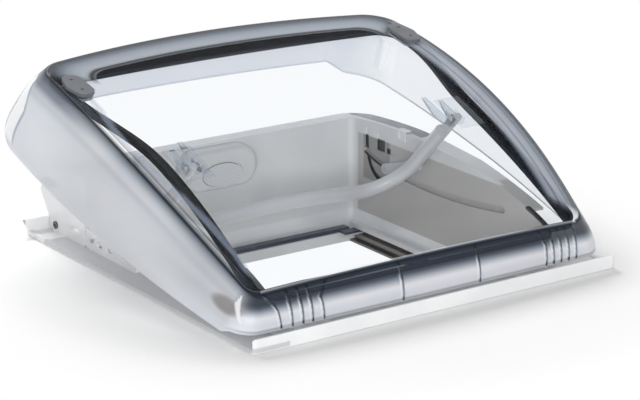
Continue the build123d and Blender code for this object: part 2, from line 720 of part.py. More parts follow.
def collar():
    radius = WALL_CORNER
    wall = round_ring(
        WALL_HALF_X, WALL_HALF_Y, -ROOF_THICKNESS, WALL_STOCK_TOP, radius, SHAFT_SIDE_WALL, SHAFT_END_WALL
    ) & BELOW_TOP
    rim = round_ring(
        WALL_HALF_X + RIM_REACH,
        WALL_HALF_Y + RIM_REACH,
        0,
        WALL_STOCK_TOP,
        radius + RIM_REACH,
        RIM_REACH + 1,
        RIM_REACH + 1,
    )
    rim &= BELOW_TOP
    rim -= block(-FAR, FAR, -FAR, RIM_FRONT, -FAR, FAR)
    rim -= above_pane(RIM_BELOW_PANE)
    rim -= collar_profile(RIM_THICKNESS) - above_pane(RIM_BELOW_PANE + RIM_THICKNESS)
    wall += rim
    wall -= block(-FAR, FAR, -FAR, FRONT_TRIM_REAR, 0, WALL_STOCK_TOP) - collar_profile(FRONT_TRIM_HEIGHT)
    foot = round_ring(
        WALL_HALF_X + COLLAR_FOOT,
        WALL_HALF_Y + COLLAR_FOOT,
        FLANGE_PLATE,
        FLANGE_PLATE + COLLAR_FOOT_THICKNESS,
        radius + COLLAR_FOOT,
        COLLAR_FOOT + 1,
        COLLAR_FOOT + 1,
    )
    foot -= block(-FAR, FAR, -FAR, -WALL_HALF_Y, 0, FAR)
    wall += foot
    low = -ROOF_THICKNESS - SKIRT_BELOW_ROOF
    wall += round_ring(WALL_HALF_X, WALL_HALF_Y, low, -ROOF_THICKNESS, radius, SKIRT_WALL, SKIRT_WALL)
    for side in (1, -1):
        wall -= groove(pin_path(), PIN_RADIUS + TRACK_CLEARANCE, side, TRACK_DEPTH)
        wall -= groove(J_SLOT, J_SLOT_HALF, side, J_SLOT_DEPTH)
        x = side * SHAFT_HALF_X
        for front, rear, low_z, high_z in NICHES:
            wall -= block(x - side, x + side * NICHE_DEPTH, front, rear, low_z, high_z)
    for x, y, turn in clamp_places():
        wall -= Pos(x, y, 0) * Rot(0, 0, turn) * clamp_hole()
    return wall


# Flange on the roof

def base_flange():
    plate = round_block(FLANGE_HALF_X, FLANGE_HALF_Y, 0, FLANGE_PLATE, FLANGE_CORNER)
    plate -= round_block(WALL_HALF_X + FIT, WALL_HALF_Y + FIT, -1, FLANGE_PLATE + 1, WALL_CORNER)
    inner = FLANGE_HALF_Y - FLANGE_LIP_WALL
    shape = round_block(FLANGE_HALF_X, FLANGE_HALF_Y, 0, FLANGE_LIP_HEIGHT, FLANGE_CORNER)
    lip = Plane.XZ * RectangleRounded(2 * FLANGE_HALF_X, 2 * FLANGE_LIP_HEIGHT, FLANGE_LIP_CORNER)
    shape &= Pos(0, -inner, 0) * extrude(lip, amount=FLANGE_LIP_WALL)
    plate += shape
    for side in (1, -1):
        edge = side * FLANGE_HALF_X
        end = FLANGE_HALF_Y - BEAD_END_GAP
        bead = block(edge, edge - side * BEAD_WIDTH, -end, end, 0, BEAD_HEIGHT)
        plate += bead
    rear = FLANGE_HALF_Y
    upstand = make_face(Polyline(
        (-FLANGE_HALF_X, 0),
        (FLANGE_HALF_X, 0),
        (FLANGE_HALF_X, BEAD_HEIGHT),
        (FLANGE_HALF_X + REAR_UPSTAND_FLARE, REAR_UPSTAND_HEIGHT),
        (-FLANGE_HALF_X - REAR_UPSTAND_FLARE, REAR_UPSTAND_HEIGHT),
        (-FLANGE_HALF_X, BEAD_HEIGHT),
        close=True,
    ))
    plate += Pos(0, rear, 0) * extrude(Plane.XZ * upstand, amount=FLANGE_LIP_WALL)
    return plate - roof_seal()


def roof_seal():
    half_x = FLANGE_HALF_X - ROOF_SEAL_INSET
    half_y = FLANGE_HALF_Y - ROOF_SEAL_INSET
    return round_ring(
        half_x, half_y, 0, ROOF_SEAL_THICKNESS, ROOF_SEAL_CORNER, ROOF_SEAL_WIDTH, ROOF_SEAL_WIDTH
    )


def wall_clip(side):
    """A small clip that straddles the collar's top edge."""
    front = CLIP_Y - CLIP_HALF
    rear = CLIP_Y + CLIP_HALF
    under = CLIP_TOP - CLIP_SHEET
    face = side * (SHAFT_HALF_X - CLIP_PROUD)
    inner = side * (SHAFT_HALF_X - FIT)
    outer = side * (WALL_HALF_X + CLIP_SHEET)
    clip = block(face, outer, front, rear, CLIP_TOP - CLIP_DROP, CLIP_TOP)
    clip -= block(inner, side * FAR, front - 1, rear + 1, 0, under)
    slot_front = CLIP_Y - CLIP_SLOT_HALF
    slot_rear = CLIP_Y + CLIP_SLOT_HALF
    low = CLIP_TOP - CLIP_DROP + CLIP_SLOT_HALF
    return clip - block(face - side, face + side * CLIP_SLOT_DEPTH, slot_front, slot_rear, low, under)


# Plates beside the shaft

def corner_housing():
    shape = side_shape(HOUSING_OUTLINE, HOUSING_X, HOUSING_DEPTH, HOUSING_CORNER)
    hollow = side_shape(HOUSING_OUTLINE, HOUSING_X - 1, HOUSING_DEPTH - HOUSING_WALL + 1)
    shape -= block(HOUSING_X - 1, HOUSING_X + HOUSING_DEPTH - HOUSING_WALL, *HOUSING_CORE) & hollow
    y, z = HOUSING_SCREW
    shape -= rod_x(HOUSING_X, FAR, y, z, HOUSING_SCREW_RADIUS + FIT)
    y, z = HOUSING_SLOT
    low = z - HOUSING_SLOT_HALF_Z
    high = z + HOUSING_SLOT_HALF_Z
    return shape - block(HOUSING_X, FAR, y - HOUSING_SLOT_HALF_Y, y + HOUSING_SLOT_HALF_Y, low, high)


def bumper():
    return side_shape(BUMPER_OUTLINE, HOUSING_X + 1, HOUSING_DEPTH - 2)


def housing_screw(side):
    y, z = HOUSING_SCREW
    face = side * (HOUSING_X + HOUSING_DEPTH)
    top = face + side * HOUSING_HEAD_HEIGHT
    head = rod_x(face, top, y, z, HOUSING_HEAD_RADIUS)
    shank = rod_x(face, side * HOUSING_X, y, z, HOUSING_SCREW_RADIUS)
    return head + shank - rod_x(top - side * HOUSING_DRIVE_DEPTH, top + side, y, z, HOUSING_DRIVE_RADIUS)


def side_bracket():
    outer = HOUSING_X + HOUSING_DEPTH
    plate = side_shape(BRACKET_OUTLINE, outer - BRACKET_PLATE, BRACKET_PLATE, BRACKET_CORNER)
    plate += block(HOUSING_X, outer, *BRACKET_FOOT, FLANGE_PLATE, FLANGE_PLATE + BRACKET_PLATE)
    for outline in BRACKET_CUTS:
        plate -= side_shape(outline, HOUSING_X, 2 * HOUSING_DEPTH)
    return plate


# Hinges

def hinge_x(side):
    return side * HINGE_SPACING / 2


def hinge_base(side):
    x = hinge_x(side)
    half = LEAF_WIDTH / 2 + FIT + KNUCKLE_WIDTH
    rear = -WALL_HALF_Y - FIT
    front = HINGE_Y - HINGE_PIN_RADIUS / 2
    base = block(x - half, x + half, front, rear, FLANGE_PLATE, FLANGE_PLATE + HINGE_BASE_SHEET)
    for sign in (1, -1):
        inner = x + sign * (LEAF_WIDTH / 2 + FIT)
        outer = x + sign * half
        base += rod_x(inner, outer, HINGE_Y, HINGE_Z, KNUCKLE_RADIUS)
        base += block(inner, outer, front, HINGE_Y + KNUCKLE_RADIUS, FLANGE_PLATE, HINGE_Z)
    return base - rod_x(x - 2 * half, x + 2 * half, HINGE_Y, HINGE_Z, HINGE_PIN_RADIUS)


def hinge_pin(side):
    x = hinge_x(side)
    half = LEAF_WIDTH / 2 + FIT + KNUCKLE_WIDTH
    return rod_x(x - half, x + half, HINGE_Y, HINGE_Z, HINGE_PIN_RADIUS)


def hinge_leaf(side):
    x = hinge_x(side)
    half = LEAF_WIDTH / 2
    front = FOOT_FRONT_Y - 4
    web = block(x - half, x + half, front, HINGE_Y + KNUCKLE_RADIUS, HINGE_Z + 1.5, LEAF_TOP_Z)
    web -= Pos(0, DOME_WALL + 4, 0) * dome_body(DOME_WALL, FOOT_Z - 1)
    web = web & GLAZING_SPACE
    leaf = web + rod_x(x - half, x + half, HINGE_Y, HINGE_Z, KNUCKLE_RADIUS)
    bore = HINGE_PIN_RADIUS + HINGE_PIN_CLEARANCE
    return leaf - rod_x(x - 2 * half, x + 2 * half, HINGE_Y, HINGE_Z, bore)


# Lock

def lock_shape(inset, depth):
    height = LOCK_TOP_Z - LOCK_BOTTOM_Z
    face = RectangleRounded(LOCK_WIDTH - 2 * inset, height - 2 * inset, LOCK_RADIUS - inset)
    middle = (LOCK_TOP_Z + LOCK_BOTTOM_Z) / 2
    return Pos(LOCK_X, SHAFT_HALF_Y, middle) * extrude(Plane.XZ * face, amount=depth)


def button_shape(grow, y0, y1):
    face = Ellipse(BUTTON_HALF_WIDTH + grow, BUTTON_HALF_HEIGHT + grow)
    return Pos(LOCK_X, y1, BUTTON_Z) * extrude(Plane.XZ * face, amount=y1 - y0)


LOCK_FRONT = SHAFT_HALF_Y - LOCK_DEPTH
TONGUE_Y = SHAFT_HALF_Y - 6.5
SPRING_SEAT_Y = SHAFT_HALF_Y - SPRING_SEAT
BUTTON_FRONT = LOCK_FRONT - BUTTON_PROUD


def tongue_block(grow):
    half = TONGUE_WIDTH / 2 + grow
    deep = TONGUE_DEPTH / 2 + grow
    low = LOCK_BOTTOM_Z - TONGUE_PROUD
    return block(LOCK_X - half, LOCK_X + half, TONGUE_Y - deep, TONGUE_Y + deep, low, low + TONGUE_LENGTH)


def lock_housing():
    body = lock_shape(0, LOCK_DEPTH)
    front = [e for e in body.edges() if abs(e.center().Y - LOCK_FRONT) < 0.01]
    body = fillet(front, LOCK_EDGE)
    body -= lock_shape(LOCK_WALL, LOCK_DEPTH - LOCK_WALL)
    body -= button_shape(RUNNING_GAP, LOCK_FRONT - 2, LOCK_FRONT + 6)
    rim = button_shape(RUNNING_GAP + 1.6, LOCK_FRONT + 1, TONGUE_Y - TONGUE_DEPTH / 2 - 2 * RUNNING_GAP)
    rim -= button_shape(RUNNING_GAP, LOCK_FRONT - 2, SHAFT_HALF_Y)
    body += rim & lock_shape(LOCK_WALL / 2, LOCK_DEPTH)
    crescent = Plane.XZ * Ellipse(BUTTON_HALF_WIDTH - 1, BUTTON_HALF_HEIGHT)
    crescent = extrude(crescent, amount=-1 - CRESCENT_DEPTH)
    crescent = Pos(LOCK_X, LOCK_FRONT - 1, BUTTON_Z + CRESCENT_RISE) * crescent
    body -= crescent - button_shape(RUNNING_GAP, LOCK_FRONT - 3, LOCK_FRONT + 6)
    spring_seat = rod_y(LOCK_X, SPRING_SEAT_Y, SHAFT_HALF_Y, BUTTON_Z, SPRING_RADIUS + 2)
    reach = (LOCK_WIDTH - LOCK_WALL) / 2
    low = BUTTON_Z - SEAT_BAR_HALF
    high = BUTTON_Z + SEAT_BAR_HALF
    seat_bar = block(LOCK_X - reach, LOCK_X + reach, SPRING_SEAT_Y, SHAFT_HALF_Y, low, high)
    body += spring_seat + seat_bar
    return body - tongue_block(RUNNING_GAP)


def lock_button():
    rear = BUTTON_FRONT + BUTTON_LENGTH
    button = button_shape(0, BUTTON_FRONT, rear)
    return button - button_shape(-BUTTON_SKIN, BUTTON_FRONT + BUTTON_SKIN, rear)


def button_spring():
    length = SPRING_SEAT_Y - BUTTON_FRONT - BUTTON_SKIN - BUTTON_TRAVEL - FIT - SPRING_WIRE
    coil = Helix(pitch=length / SPRING_TURNS, height=length, radius=SPRING_RADIUS)
    start = Plane(coil @ 0, z_dir=coil % 0)
    wire = sweep(start * Circle(SPRING_WIRE / 2), coil, is_frenet=True)
    return Pos(LOCK_X, SPRING_SEAT_Y - SPRING_WIRE / 2, BUTTON_Z) * Rot(90, 0, 0) * wire


def latch_tongue():
    return tongue_block(0)


# Ceiling frame

def blind_frame():
    low = -ROOF_THICKNESS - CEILING_DEPTH
    top = -ROOF_THICKNESS
    wall = CEILING_WALL
    shape = round_ring(CEILING_HALF, CEILING_HALF, low, top, CEILING_CORNER, wall, wall)
    shape += round_ring(
        SHAFT_HALF_X + wall, SHAFT_HALF_Y + wall, low, top, SHAFT_CORNER + wall, wall, wall
    )
    bottom = round_block(CEILING_HALF, CEILING_HALF, low, low + wall, CEILING_CORNER)
    bottom -= round_block(SHAFT_HALF_X, SHAFT_HALF_Y, low - 1, low + wall + 1, SHAFT_CORNER)
    shape += bottom
    slot_half = BLIND_HALF_WIDTH - 6
    for z, sign in ((BLACKOUT_SLOT_Z, 1), (SCREEN_SLOT_Z, -1)):
        inner = sign * SHAFT_HALF_Y
        behind = sign * (SHAFT_HALF_Y + wall)
        bottom_z = z - SLOT_HEIGHT / 2
        shape -= block(-slot_half, slot_half, inner - sign, behind + sign, bottom_z, z + SLOT_HEIGHT / 2)
        shelf_end = sign * (CEILING_HALF - wall)
        shape += block(-slot_half, slot_half, behind, shelf_end, bottom_z - SHELF_SHEET, bottom_z - BOND)
    hole = CEILING_HALF - TRIM_HOLE_INSET
    for x in (hole, -hole):
        for y in (hole, -hole):
            middle = low + TRIM_BOSS_HEIGHT / 2
            shape += Pos(x, y, middle) * Cylinder(TRIM_BOSS_RADIUS, TRIM_BOSS_HEIGHT)
            shape -= Pos(x, y, middle) * Cylinder(TRIM_HOLE_RADIUS, 2 * TRIM_BOSS_HEIGHT)
    shape -= round_ring(
        WALL_HALF_X + FIT,
        WALL_HALF_Y + FIT,
        top - SKIRT_BELOW_ROOF - FIT,
        top + 1,
        WALL_CORNER,
        SKIRT_WALL + 2 * FIT,
        SKIRT_WALL + 2 * FIT,
    )
    return shape


def blind_rail(side):
    inner = side * (SHAFT_HALF_X - RAIL_WIDTH)
    outer = side * SHAFT_HALF_X
    half = SHAFT_HALF_Y - SHAFT_CORNER
    rail = block(inner, outer, -half, half, RAIL_BOTTOM_Z, RAIL_TOP_Z)
    floor = outer - side * RAIL_WALL
    slot_half = SLOT_HEIGHT / 2
    for z in (BLACKOUT_SLOT_Z, SCREEN_SLOT_Z):
        rail -= block(inner - side, floor, -half - 1, half + 1, z - slot_half, z + slot_half)
    return rail


def blind_bar(z, sign):
    """A pull bar across the opening, with tongues that run in both rails."""
    rear = sign * (SHAFT_HALF_Y - BLIND_BAR_PARK_GAP)
    front = rear - sign * BLIND_BAR_DEPTH
    low = z - BLIND_BAR_HEIGHT / 2
    bar = block(-BLIND_HALF_WIDTH, BLIND_HALF_WIDTH, front, rear, low, low + BLIND_BAR_HEIGHT)
    edges = [e for e in bar.edges() if abs(e.center().Y - front) < 0.01 and abs(e.center().X) < 1]
    bar = fillet(edges, BLIND_BAR_HEIGHT / 2 - 0.6)
    reach = SHAFT_HALF_X - RAIL_WALL - RUNNING_GAP
    half = SLOT_HEIGHT / 2 - RUNNING_GAP
    tongue_rear = sign * min(abs(front), SHAFT_HALF_Y - SHAFT_CORNER - FIT)
    tongue_front = tongue_rear - sign * BLIND_BAR_DEPTH
    root = BLIND_HALF_WIDTH - 2
    cheek = BLIND_HALF_WIDTH - 16
    tongue = block(-reach, reach, tongue_front, tongue_rear, z - half, z + half)
    tongue += block(-root, root, tongue_rear - sign, front, z - half, z + half)
    tongue -= block(-cheek, cheek, tongue_front - sign, front, low, low + BLIND_BAR_HEIGHT)
    return bar + tongue


def pleats(z, sign):
    """A folded sheet, packed together behind its bar."""
    first = SHAFT_HALF_Y + CEILING_WALL + PLEAT_WALL_GAP
    half = SLOT_HEIGHT / 2 - PLEAT_SLOT_GAP
    upper = []
    for fold in range(PLEAT_COUNT + 1):
        y = sign * (first + fold * PLEAT_PITCH)
        height = z + (half - PLEAT_SHEET if fold % 2 else -half)
        upper.append((y, height))
    lower = [(y, height + PLEAT_SHEET) for y, height in reversed(upper)]
    half_width = BLIND_HALF_WIDTH - PLEAT_SIDE_GAP
    return side_shape(upper + lower, -half_width, 2 * half_width)


# Clamps under the ceiling

def clamp_places():
    places = []
    offsets = [(i - (CLAMP_COUNT - 1) / 2) * CLAMP_SPACING for i in range(CLAMP_COUNT)]
    for along in offsets:
        places.append((WALL_HALF_X, along, 0))
        places.append((-WALL_HALF_X, along, 180))
    for along in (offsets[0], offsets[-1]):
        places.append((along, WALL_HALF_Y, 90))
        places.append((along, -WALL_HALF_Y, -90))
    return places


CLAMP_HOLE_Z = -ROOF_THICKNESS - CLAMP_LEG / 2 - 1


def clamp_hole():
    return rod_x(-SKIRT_WALL - 1, 1, 0, CLAMP_HOLE_Z, CLAMP_SCREW_RADIUS)


def clamp_bracket():
    half = CLAMP_WIDTH / 2
    top = -ROOF_THICKNESS
    bracket = block(0, CLAMP_REACH, -half, half, top - CLAMP_SHEET, top)
    bracket += block(0, CLAMP_SHEET, -half, half, top - CLAMP_LEG, top)
    return bracket - rod_x(-1, CLAMP_SHEET + 1, 0, CLAMP_HOLE_Z, CLAMP_SCREW_RADIUS + FIT / 3)


def clamp_screw():
    head = rod_x(CLAMP_SHEET, CLAMP_SHEET + CLAMP_HEAD_HEIGHT, 0, CLAMP_HOLE_Z, CLAMP_HEAD_RADIUS)
    return head + rod_x(-SKIRT_WALL, CLAMP_SHEET, 0, CLAMP_HOLE_Z, CLAMP_SCREW_RADIUS)


def around(shape):
    return [Pos(x, y, 0) * Rot(0, 0, turn) * shape for x, y, turn in clamp_places()]


# Nodes

def pair(name, right, turn=False):
    left = left_of(right)
    if turn:
        right = at_rest(right)
        left = at_rest(left)
    return {name + "_right": right, name + "_left": left}


def nodes():
    made = {
        "base_flange": base_flange(),
        "roof_seal": roof_seal(),
        "collar": collar(),
        "front_trim": front_trim(),
        "lock_housing": lock_housing(),
        "lock_button": lock_button(),
        "button_spring": button_spring(),
        "latch_tongue": latch_tongue(),
        "blind_frame": blind_frame(),
        "blackout_bar": blind_bar(BLACKOUT_SLOT_Z, 1),
        "blackout_pleats": pleats(BLACKOUT_SLOT_Z, 1),
        "screen_bar": blind_bar(SCREEN_SLOT_Z, -1),
        "screen_pleats": pleats(SCREEN_SLOT_Z, -1),
        "clamp_brackets": Compound(children=around(clamp_bracket())),
        "clamp_screws": Compound(children=around(clamp_screw())),
        "outer_dome": at_rest(outer_dome()),
        "inner_pane": at_rest(inner_pane()),
        "pane_spacer": at_rest(pane_spacer()),
        "dome_seal": at_rest(dome_seal()),
        "bow_handle": bow_handle(),
    }
    made.update(pair("blind_rail", blind_rail(1)))
    made.update(pair("wall_clip", wall_clip(1)))
    made.update(pair("corner_housing", corner_housing()))
    made.update(pair("bumper", bumper()))
    made.update(pair("housing_screw", housing_screw(1)))
    made.update(pair("side_bracket", side_bracket()))
    made.update(pair("hinge_base", hinge_base(1)))
    made.update(pair("hinge_pin", hinge_pin(1)))
    made.update(pair("hinge_leaf", hinge_leaf(1), turn=True))
    made.update(pair("cap", cap(), turn=True))
    made.update(pair("cap_pad", cap_pad(), turn=True))
    made.update(pair("cap_screws", Compound(children=cap_screws()), turn=True))
    made.update(pair("dome_boss", dome_boss(), turn=True))
    made.update(pair("bow_bracket", bow_bracket(), turn=True))
    made.update(pair("bow_pivot", bow_pivot(1), turn=True))
    made.update(pair("guide_pin", guide_pin(1)))
    return made


os.makedirs("parts", exist_ok=True)
for name, shape in nodes().items():
    export_step(shape, "parts/" + name + ".step")
    print(name, round(shape.volume))
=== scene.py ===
import math

import bmesh
import bpy
from mathutils import Matrix, Vector


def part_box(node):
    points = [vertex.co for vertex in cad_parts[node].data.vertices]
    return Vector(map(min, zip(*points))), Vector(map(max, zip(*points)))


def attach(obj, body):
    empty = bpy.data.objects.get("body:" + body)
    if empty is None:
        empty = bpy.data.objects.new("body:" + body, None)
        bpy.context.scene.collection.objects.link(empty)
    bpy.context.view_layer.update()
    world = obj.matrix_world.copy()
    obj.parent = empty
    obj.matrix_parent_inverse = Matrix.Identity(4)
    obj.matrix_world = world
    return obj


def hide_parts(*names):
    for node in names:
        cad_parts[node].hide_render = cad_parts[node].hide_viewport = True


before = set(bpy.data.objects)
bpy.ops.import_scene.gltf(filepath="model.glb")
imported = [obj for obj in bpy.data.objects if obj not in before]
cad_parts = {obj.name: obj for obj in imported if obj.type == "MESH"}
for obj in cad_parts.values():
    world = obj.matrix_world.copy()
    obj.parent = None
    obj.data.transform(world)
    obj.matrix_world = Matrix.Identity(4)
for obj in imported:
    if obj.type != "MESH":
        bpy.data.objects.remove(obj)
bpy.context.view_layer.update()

MM = 0.001
SCENE = bpy.context.scene


# Frame of the dome: drawn closed, then turned to the angle at which it stands open

HINGE = Vector((0, -210.0, 13.0))
OPEN_ANGLE = 13.0
OPEN_TURN = Matrix.Rotation(math.radians(OPEN_ANGLE), 4, "X")


def opened(point):
    """A point of the closed dome in mm, as it stands at rest, in metres."""
    return (OPEN_TURN @ (Vector(point) - HINGE) + HINGE) * MM


def mix(a, b, share):
    """A value between a (share 0) and b (share 1)."""
    return a + (b - a) * share


def smooth(low, high, value):
    """0 below low, 1 above high, with a soft step between them."""
    share = max(0.0, min(1.0, (value - low) / (high - low)))
    return share * share * (3 - 2 * share)


def linear(r, g, b):
    """A colour as seen on a screen, 0 to 255, as Blender counts it."""
    out = []
    for value in (r, g, b):
        v = value / 255
        out.append(v / 12.92 if v <= 0.04045 else ((v + 0.055) / 1.055) ** 2.4)
    return tuple(out)


def show(name, data):
    """Puts a mesh, lamp or camera into the scene under a name."""
    obj = bpy.data.objects.new(name, data)
    SCENE.collection.objects.link(obj)
    return obj


def faceted(name, verts, faces, *materials):
    """An object from points in metres and faces as numbers of points."""
    data = bpy.data.meshes.new(name)
    data.from_pydata(verts, [], faces)
    for material in materials:
        data.materials.append(material)
    return show(name, data)


# Materials

ZONE_EDGE = 0.002


class Nodes:
    """Short names for building the node tree of a material or a world."""

    def __init__(self, owner, output="ShaderNodeOutputMaterial"):
        self.owner = owner
        self.owner.use_nodes = True
        self.tree = owner.node_tree
        self.tree.nodes.clear()
        self.output = self.add(output)
        self.coords = self.add("ShaderNodeTexCoord").outputs["Object"]

    def add(self, kind, **settings):
        node = self.tree.nodes.new(kind)
        for key, value in settings.items():
            setattr(node, key, value)
        return node

    def link(self, a, b):
        self.tree.links.new(a, b)

    def noise(self, scale, detail, stretch=(1, 1, 1)):
        place = self.add("ShaderNodeMapping")
        place.inputs["Scale"].default_value = stretch
        self.link(self.coords, place.inputs["Vector"])
        node = self.add("ShaderNodeTexNoise")
        node.inputs["Scale"].default_value = scale
        node.inputs["Detail"].default_value = detail
        self.link(place.outputs[0], node.inputs["Vector"])
        return node.outputs["Fac"]

    def ramp(self, source, stops):
        node = self.add("ShaderNodeValToRGB")
        ramp = node.color_ramp
        while len(ramp.elements) < len(stops):
            ramp.elements.new(0.5)
        for element, (place, colour) in zip(ramp.elements, stops):
            element.position = place
            element.color = (*colour, 1)
        self.link(source, node.inputs["Fac"])
        return node.outputs["Color"]

    def spread(self, source, low, high, start=0.3, end=0.7):
        node = self.add("ShaderNodeMapRange")
        node.inputs["From Min"].default_value = start
        node.inputs["From Max"].default_value = end
        node.inputs["To Min"].default_value = low
        node.inputs["To Max"].default_value = high
        self.link(source, node.inputs["Value"])
        return node.outputs[0]

    def maths(self, operation, a, b):
        node = self.add("ShaderNodeMath", operation=operation)
        for socket, value in zip(node.inputs, (a, b)):
            if isinstance(value, (int, float)):
                socket.default_value = value
            else:
                self.link(value, socket)
        return node.outputs[0]

    def bump(self, source, strength, distance):
        node = self.add("ShaderNodeBump")
        node.inputs["Strength"].default_value = strength
        node.inputs["Distance"].default_value = distance
        self.link(source, node.inputs["Height"])
        return node.outputs["Normal"]

    def blend(self, factor, a, b):
        node = self.add("ShaderNodeMixShader")
        self.link(factor, node.inputs[0])
        self.link(a, node.inputs[1])
        self.link(b, node.inputs[2])
        return node.outputs[0]

    def gloss_share(self, straight, grazing):
        """How much a clear surface mirrors: more at a shallow angle, and none from behind."""
        facing = self.add("ShaderNodeLayerWeight")
        facing.inputs["Blend"].default_value = 0.5
        steep = self.maths("POWER", facing.outputs["Facing"], 5.0)
        share = self.maths("ADD", self.maths("MULTIPLY", steep, grazing), straight)
        back = self.add("ShaderNodeNewGeometry").outputs["Backfacing"]
        return self.maths("MULTIPLY", share, self.maths("SUBTRACT", 1.0, back))

    def zone(self, low, high):
        """1 inside a box of the model, 0 outside it."""
        split = self.add("ShaderNodeSeparateXYZ")
        self.link(self.coords, split.inputs[0])
        inside = 1.0
        for axis, a, b in zip(split.outputs, low, high):
            if a is not None:
                inside = self.maths("MULTIPLY", inside, self.spread(axis, 0.0, 1.0, a - ZONE_EDGE, a))
            if b is not None:
                inside = self.maths("MULTIPLY", inside, self.spread(axis, 1.0, 0.0, b, b + ZONE_EDGE))
        return inside

    def seen(self):
        """1 for rays that see, mirror or look through to a surface, 0 for its light on the model."""
        path = self.add("ShaderNodeLightPath")
        direct = self.maths("MAXIMUM", path.outputs["Is Camera Ray"], path.outputs["Is Glossy Ray"])
        return self.maths("MAXIMUM", direct, path.outputs["Is Transmission Ray"])

    def finish(self, shader):
        self.link(shader, self.output.inputs["Surface"])
        return self.owner


GRAIN_DEPTH = 0.00006


def plastic(name, colour, rough=0.4, grain=900.0, coat=0.0, vary=0.04, shine=0.5, zones=()):
    """Moulded plastic: a fine spark-eroded grain, slightly uneven, and other colours in some zones, most
    of them painted shade.
    """
    n = Nodes(bpy.data.materials.new(name))
    body = n.add("ShaderNodeBsdfPrincipled")
    patches = n.noise(14.0, 4.0)
    light = tuple(min(1.0, c * (1 + vary)) for c in colour)
    dark = tuple(c * (1 - vary) for c in colour)
    base = n.ramp(patches, [(0.35, dark), (0.65, light)])
    for low, high, tint in zones:
        over = n.add("ShaderNodeMix", data_type="RGBA")
        n.link(n.zone(low, high), over.inputs["Factor"])
        n.link(base, over.inputs["A"])
        over.inputs["B"].default_value = (*tint, 1)
        base = over.outputs["Result"]
    n.link(base, body.inputs["Base Color"])
    n.link(n.spread(n.noise(60.0, 2.0), rough - 0.05, rough + 0.07), body.inputs["Roughness"])
    n.link(n.bump(n.noise(grain, 2.0), 0.35, GRAIN_DEPTH), body.inputs["Normal"])
    body.inputs["Specular IOR Level"].default_value = shine
    body.inputs["Coat Weight"].default_value = coat
    body.inputs["Coat Roughness"].default_value = 0.08
    return n.finish(body.outputs[0])


def metal(name, colour, rough):
    """Plated steel with fine drawn streaks."""
    n = Nodes(bpy.data.materials.new(name))
    body = n.add("ShaderNodeBsdfPrincipled")
    body.inputs["Metallic"].default_value = 1.0
    streaks = n.noise(240.0, 3.0, stretch=(1, 6, 6))
    dark = tuple(c * 0.82 for c in colour)
    n.link(n.ramp(streaks, [(0.3, dark), (0.7, colour)]), body.inputs["Base Color"])
    n.link(n.spread(streaks, rough - 0.08, rough + 0.12), body.inputs["Roughness"])
    n.link(n.bump(streaks, 0.25, 0.00005), body.inputs["Normal"])
    return n.finish(body.outputs[0])


EDGE_PAINTED_DARK_LINES = linear(70, 80, 96)
EDGE_PAINTED_HIGHLIGHTS = linear(235, 238, 242)


def clear(name, tint, haze, sheen, edge=0.0):
    """Clear acrylic: a slight tint, gloss at a shallow angle, and, as much as edge says, painted
    highlights and dark lines in streaks where it is seen at a shallow angle.
    """
    n = Nodes(bpy.data.materials.new(name))
    through = n.add("ShaderNodeBsdfTransparent")
    through.inputs["Color"].default_value = (*tint, 1)
    gloss = n.add("ShaderNodeBsdfGlossy")
    gloss.inputs["Roughness"].default_value = 0.02
    milk = n.add("ShaderNodeBsdfPrincipled")
    milk.inputs["Base Color"].default_value = (0.72, 0.76, 0.82, 1)
    milk.inputs["Roughness"].default_value = 0.3
    ripple = n.bump(n.noise(9.0, 2.0), 0.12, 0.002)
    n.link(ripple, gloss.inputs["Normal"])
    dust = n.spread(n.noise(35.0, 3.0), haze * 0.6, haze * 1.4)
    shader = n.blend(dust, through.outputs[0], milk.outputs[0])
    # Painted highlights and dark lines in streaks on faces seen at a shallow angle
    if edge:
        facing = n.add("ShaderNodeLayerWeight")
        facing.inputs["Blend"].default_value = 0.25
        rim = n.add("ShaderNodeBsdfPrincipled")
        streaks = n.noise(120.0, 2.0, stretch=(1, 1, 2.5))
        stripes = n.ramp(streaks, [(0.42, EDGE_PAINTED_DARK_LINES), (0.56, EDGE_PAINTED_HIGHLIGHTS)])
        n.link(stripes, rim.inputs["Base Color"])
        rim.inputs["Roughness"].default_value = 0.15
        share = n.spread(facing.outputs["Facing"], 0.0, edge, 0.35, 1.0)
        shader = n.blend(share, shader, rim.outputs[0])
    return n.finish(n.blend(n.gloss_share(sheen, 0.4), shader, gloss.outputs[0]))


